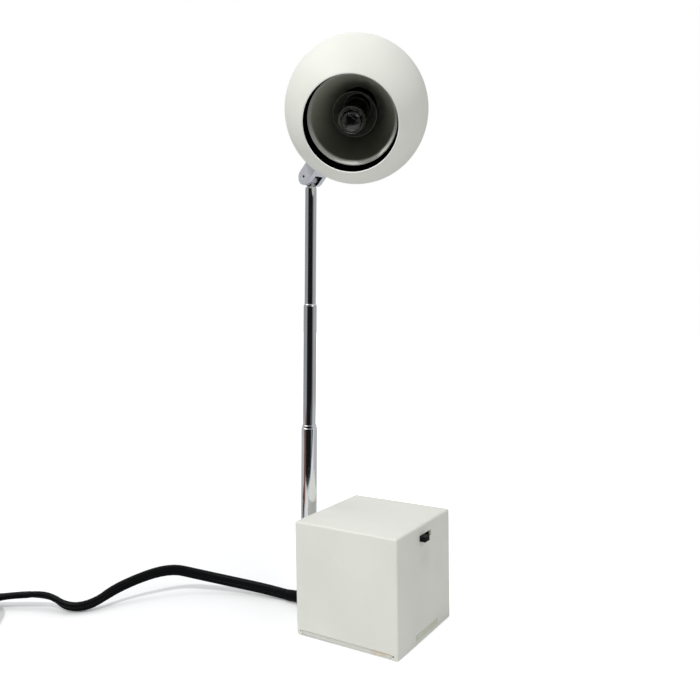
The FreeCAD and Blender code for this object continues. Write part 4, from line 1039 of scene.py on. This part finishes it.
class LAMP_OT_transformer(bpy.types.Operator):
    """Stack the transformer's plates and lay the outer turns of its windings"""

    bl_idname = "lamp.transformer"
    bl_label = "Transformer"

    def execute(self, context):
        pitch = context.scene.lamp_sizes.plate_gauge
        low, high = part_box("transformer_core")
        size = high - low
        number = round(size.y / pitch)
        place = Matrix.Translation((0, high.y, (low.z + high.z) / 2)) @ turned("X", 90)
        values = {"Width": size.x, "Height": size.z, "Plates": number, "Pitch": pitch}
        core = grown("core_plates", core_tree(finish_of("core_steel")), values, place)
        settle(core, "base", "core_steel", "transformer_core")
        turns = winding_tree(finish_of("winding_copper"))
        for node in ("primary_winding", "secondary_winding"):
            low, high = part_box(node)
            size = high - low
            number = int((size.z - 2 * WINDING_WIRE) / WINDING_PITCH)
            place = Matrix.Translation(((low.x + high.x) / 2, (low.y + high.y) / 2,
                                        low.z + 1.5 * WINDING_WIRE))
            values = {"Width": size.x, "Depth": size.y, "Turns": number,
                      "Wire Radius": WINDING_WIRE, "Pitch": WINDING_PITCH}
            settle(grown(node + "_turns", turns, values, place), "base", "winding_copper")
        return {"FINISHED"}


# ---- finishes as operators ----
class LAMP_OT_paint(bpy.types.Operator):
    """Enamel the cube, its bottom plate and the ball, and paint the reflector"""

    bl_idname = "lamp.paint"
    bl_label = "Paint"

    def execute(self, context):
        colours = context.scene.lamp_colours
        dress(paint_finishes(colours))
        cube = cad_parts["base_housing"].material_slots[0]
        cube.material = enamel("cube_enamel", colours.enamel, True)
        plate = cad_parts["base_plate"].material_slots[0]
        plate.material = flange_enamel("flange_enamel", scaled(colours.enamel, 0.9), colours.stain)
        return {"FINISHED"}


class LAMP_OT_metal(bpy.types.Operator):
    """Finish the chrome, steel, brass and copper parts"""

    bl_idname = "lamp.metal"
    bl_label = "Metal"

    def execute(self, context):
        colours = context.scene.lamp_colours
        dress(metal_finishes(colours))
        plates = {
            "head_yoke": knuckle_plate("head_knuckle", SATIN, STEM),
            "foot_yoke": knuckle_plate("foot_knuckle", SATIN, FOOT),
            "top_lug": plated("tongue_plate", scaled(SATIN, 0.8), 0.30, 0.8),
        }
        plates["head_pin"] = plates["head_yoke"]
        plates["foot_pin"] = plates["foot_yoke"]
        plates["arm_foot"] = plates["top_lug"]
        for node, plate in plates.items():
            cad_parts[node].material_slots[0].material = plate
        return {"FINISHED"}


class LAMP_OT_plastic(bpy.types.Operator):
    """Finish the plastic, rubber and vinyl parts"""

    bl_idname = "lamp.plastic"
    bl_label = "Plastic"

    def execute(self, context):
        dress(plastic_finishes(context.scene.lamp_colours))
        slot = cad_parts["switch_plate"].material_slots[0]
        slot.material = moulded("switch_card", SWITCH_CARD, 0.5)
        return {"FINISHED"}


class LAMP_OT_glass(bpy.types.Operator):
    """Finish the bulb's glass"""

    bl_idname = "lamp.glass"
    bl_label = "Glass"

    def execute(self, context):
        dress({"lamp_glass": bulb_glass("bulb_glass")})
        return {"FINISHED"}


# ---- stage ----
# the studio as bright metal shows it: how its level changes with the direction from
# the arm, in degrees from the camera's side, to the left and to the right
LEFT_WALL = ((44.0, 62.0, 0.33), (140.0, 165.0, 0.45))
RIGHT_WALL = ((34.0, 48.0, 0.18), (50.0, 66.0, 0.22), (140.0, 165.0, 0.35))
COOL = (0.94, 0.97, 1.0, 1.0)
AHEAD = (-0.809, -0.588, 0.0)
RIGHT = (0.588, -0.809, 0.0)
SKY = (0.97, 0.985, 1.0, 1.0)
WOOD = (1.0, 0.42, 0.30, 1.0)
BOUNCE = (0.74, 0.74, 0.74, 1.0)
UNDER_ARM = (0.0, 0.055, 0.0)
UNDER_CORD = (-0.03, 0.15, 0.0)
TABLE_HALF = 4.0
LIGHT_AIM = (0, 0.03, 0.2)
# each soft light's place, the side of its square in metres and its power in watts
LIGHTS = {
    "key_light": ((-1.172, 0.057, 1.440), 0.12, 12.7),
    "top_light": ((-0.225, 0.705, 1.52), 0.7, 3.8),
    "fill_light": ((-0.20, -1.15, 1.05), 0.8, 2.0),
}
CAMERA_PLACE = (-0.4112, -0.2432, 0.2190)
CAMERA_TURN = turned("Z", -57.68) @ turned("X", 86.24) @ turned("Z", -0.88)
CAMERA_LENS = 37.07
SENSOR_WIDTH = 36.0


def rays_of(builder):
    """Whether a ray is seen, through glass or in metal as well, and whether in metal."""
    rays = builder.node("ShaderNodeLightPath").outputs
    camera, glossy, passed = [
        Value(builder, rays[n]) for n in ("Is Camera Ray", "Is Glossy Ray", "Is Transmission Ray")]
    return camera.math("MAXIMUM", glossy).math("MAXIMUM", passed), glossy


def walls(ahead, right):
    """Level of the studio's walls in the direction that these two numbers give."""
    around = right.math("ARCTAN2", ahead) * (180.0 / math.pi)
    level = 0.0
    for side, wall in ((-1.0, LEFT_WALL), (1.0, RIGHT_WALL)):
        for low, high, rise in wall:
            level = level + (around * side).step(low, high) * rise
    return level, around


def along(builder, vector, *ways):
    return [Value(builder, builder.vector_math("DOT_PRODUCT", vector, way)) for way in ways]


def studio_world(scene):
    """White where it is seen, softer where it lights, walls and a dark room in metal."""
    world = bpy.data.worlds.new("studio")
    scene.world = world
    world.use_nodes = True
    world.node_tree.nodes.clear()
    builder = Builder(world.node_tree)
    seen, glossy = rays_of(builder)
    way = builder.node("ShaderNodeTexCoord").outputs["Generated"]
    ahead, right, up = along(builder, way, AHEAD, RIGHT, (0.0, 0.0, 1.0))
    level = walls(ahead, right)[0] + up.step(0.30, 0.75) * 0.45 + 0.01
    shown = 1.0 + glossy * (level - 1.0)
    cool = builder.node("ShaderNodeMix", {"data_type": "RGBA"}, {
        0: glossy, 6: (1, 1, 1, 1), 7: COOL}).outputs[2]
    white = builder.node("ShaderNodeBackground", None, {"Color": cool, "Strength": shown})
    soft = builder.node("ShaderNodeBackground", None, {
        "Color": SKY, "Strength": 0.61})
    both = builder.node("ShaderNodeMixShader", None, {
        0: seen, 1: soft.outputs[0], 2: white.outputs[0]})
    builder.node("ShaderNodeOutputWorld", None, {"Surface": both.outputs[0]})


def floor_material(tint):
    """A white table top, with its own light where it is seen, that keeps soft shadows. Its glow is
    painted light, lower near the cord and higher to the right of the cube, and in metal it shows a
    painted reflection of the studio.
    """
    material = bpy.data.materials.new("studio_floor")
    material.use_nodes = True
    material.node_tree.nodes.clear()
    builder = Builder(material.node_tree)
    seen, glossy = rays_of(builder)
    place = builder.node("ShaderNodeTexCoord").outputs["Object"]
    offset = builder.vector_math("SUBTRACT", place, UNDER_ARM)
    distance = Value(builder, builder.vector_math("LENGTH", offset))
    ahead, right = along(builder, offset, AHEAD, RIGHT)
    room, around = walls(ahead, right)
    # painted reflection for glossy rays: the studio's walls, a bright streak and a warm brown
    # wedge glow on the floor
    lean = right.math("MINIMUM", 0.0) * 0.28 + right.math("MAXIMUM", 0.0) * 0.05
    edge = (ahead - lean).step(0.315, 0.335).math("MAXIMUM", distance.step(0.75, 0.95))
    turn = abs(around)
    paper = 0.80 - turn.step(50.0, 75.0) * 0.30 + turn.step(118.0, 145.0) * 0.30
    streak = around.step(24.0, 27.0) * (1.0 - around.step(30.0, 34.0)) * (
        1.0 - distance.step(0.6, 0.9))
    mirror = paper + edge * (room + 0.01 + streak * 0.42 - paper)
    wood = around.step(-78.0, -74.0) * (1.0 - around.step(-54.0, -50.0)) * (
        distance.step(0.25, 0.30) * (1.0 - distance.step(0.8, 1.0)))
    mirror = mirror + wood * (0.17 - mirror)
    warm = builder.node("ShaderNodeMix", {"data_type": "RGBA"}, {
        0: wood, 6: COOL, 7: WOOD}).outputs[2]
    from_cord = Value(builder, builder.vector_math(
        "LENGTH", builder.vector_math("SUBTRACT", place, UNDER_CORD)))
    # painted light: the floor's glow is lowest near the cord, so that the cord's shadow shows, and
    # higher to the right of the cube, so that the cube's shadow fades
    table = 0.06 + from_cord.step(0.08, 0.22) * 0.12 + distance.step(0.12, 0.60) * 0.50
    table = table + right.step(-0.04, 0.06) * 0.30
    lit = builder.node("ShaderNodeBsdfDiffuse", None, {"Color": opaque(tint)})
    bounce = builder.node("ShaderNodeBsdfDiffuse", None, {"Color": BOUNCE})
    glow = builder.node("ShaderNodeEmission", None, {"Strength": table})
    shown = builder.node("ShaderNodeAddShader", None, {0: lit.outputs[0], 1: glow.outputs[0]})
    held = builder.node("ShaderNodeEmission", None, {"Color": warm, "Strength": mirror})
    seen_table = builder.node("ShaderNodeMixShader", None, {
        0: glossy, 1: shown.outputs[0], 2: held.outputs[0]})
    both = builder.node("ShaderNodeMixShader", None, {
        0: seen, 1: bounce.outputs[0], 2: seen_table.outputs[0]})
    builder.node("ShaderNodeOutputMaterial", None, {"Surface": both.outputs[0]})
    return material


def soft_light(name, place, size, power):
    """A square soft light that looks at the middle of the lamp."""
    lamp = bpy.data.lights.new(name, "AREA")
    lamp.shape = "SQUARE"
    lamp.size = size
    lamp.energy = power
    holder = new_object(name, lamp)
    holder.location = place
    aim = Vector(LIGHT_AIM) - holder.location
    holder.rotation_euler = aim.to_track_quat("-Z", "Y").to_euler()


class LAMP_OT_stage(bpy.types.Operator):
    """Set the white table top, the soft lights and the camera"""

    bl_idname = "lamp.stage"
    bl_label = "Stage"

    def execute(self, context):
        scene = context.scene
        studio_world(scene)
        mesh = bpy.data.meshes.new("floor")
        corners = [(x * TABLE_HALF, y * TABLE_HALF, 0)
                   for x, y in ((-1, -1), (1, -1), (1, 1), (-1, 1))]
        mesh.from_pydata(corners, [], [(0, 1, 2, 3)])
        mesh.materials.append(floor_material(scene.lamp_colours.floor))
        new_object("floor", mesh)
        for name, (place, size, power) in LIGHTS.items():
            soft_light(name, place, size, power)
        camera = bpy.data.cameras.new("camera")
        camera.lens = CAMERA_LENS
        camera.sensor_width = SENSOR_WIDTH
        holder = new_object("camera", camera)
        holder.matrix_world = Matrix.Translation(CAMERA_PLACE) @ CAMERA_TURN
        scene.camera = holder
        scene.view_settings.view_transform = "Standard"
        return {"FINISHED"}


STEPS = (LAMP_OT_stage, LAMP_OT_paint, LAMP_OT_metal, LAMP_OT_plastic, LAMP_OT_glass,
         LAMP_OT_plug_grips, LAMP_OT_cord, LAMP_OT_boot, LAMP_OT_ball, LAMP_OT_bulb_wire,
         LAMP_OT_transformer)


class LAMP_PT_panel(bpy.types.Panel):
    """Lists the lamp's pieces with their sizes and colours"""

    bl_label = "Searchlight lamp"
    bl_idname = "LAMP_PT_panel"
    bl_space_type = "VIEW_3D"
    bl_region_type = "UI"
    bl_category = "Lamp"

    def draw(self, context):
        layout = self.layout
        for step in STEPS:
            layout.operator(step.bl_idname)
        for group in (context.scene.lamp_sizes, context.scene.lamp_colours):
            box = layout.box()
            for name in group.__annotations__:
                box.prop(group, name)


CLASSES = (LampSizes, LampColours, *STEPS, LAMP_PT_panel)


def register():
    for cls in CLASSES:
        bpy.utils.register_class(cls)
    bpy.types.Scene.lamp_sizes = bpy.props.PointerProperty(type=LampSizes)
    bpy.types.Scene.lamp_colours = bpy.props.PointerProperty(type=LampColours)


def unregister():
    del bpy.types.Scene.lamp_colours
    del bpy.types.Scene.lamp_sizes
    for cls in reversed(CLASSES):
        bpy.utils.unregister_class(cls)


def main():
    register()
    for step in STEPS:
        group, name = step.bl_idname.split(".")
        getattr(getattr(bpy.ops, group), name)()


if __name__ == "__main__":
    main()
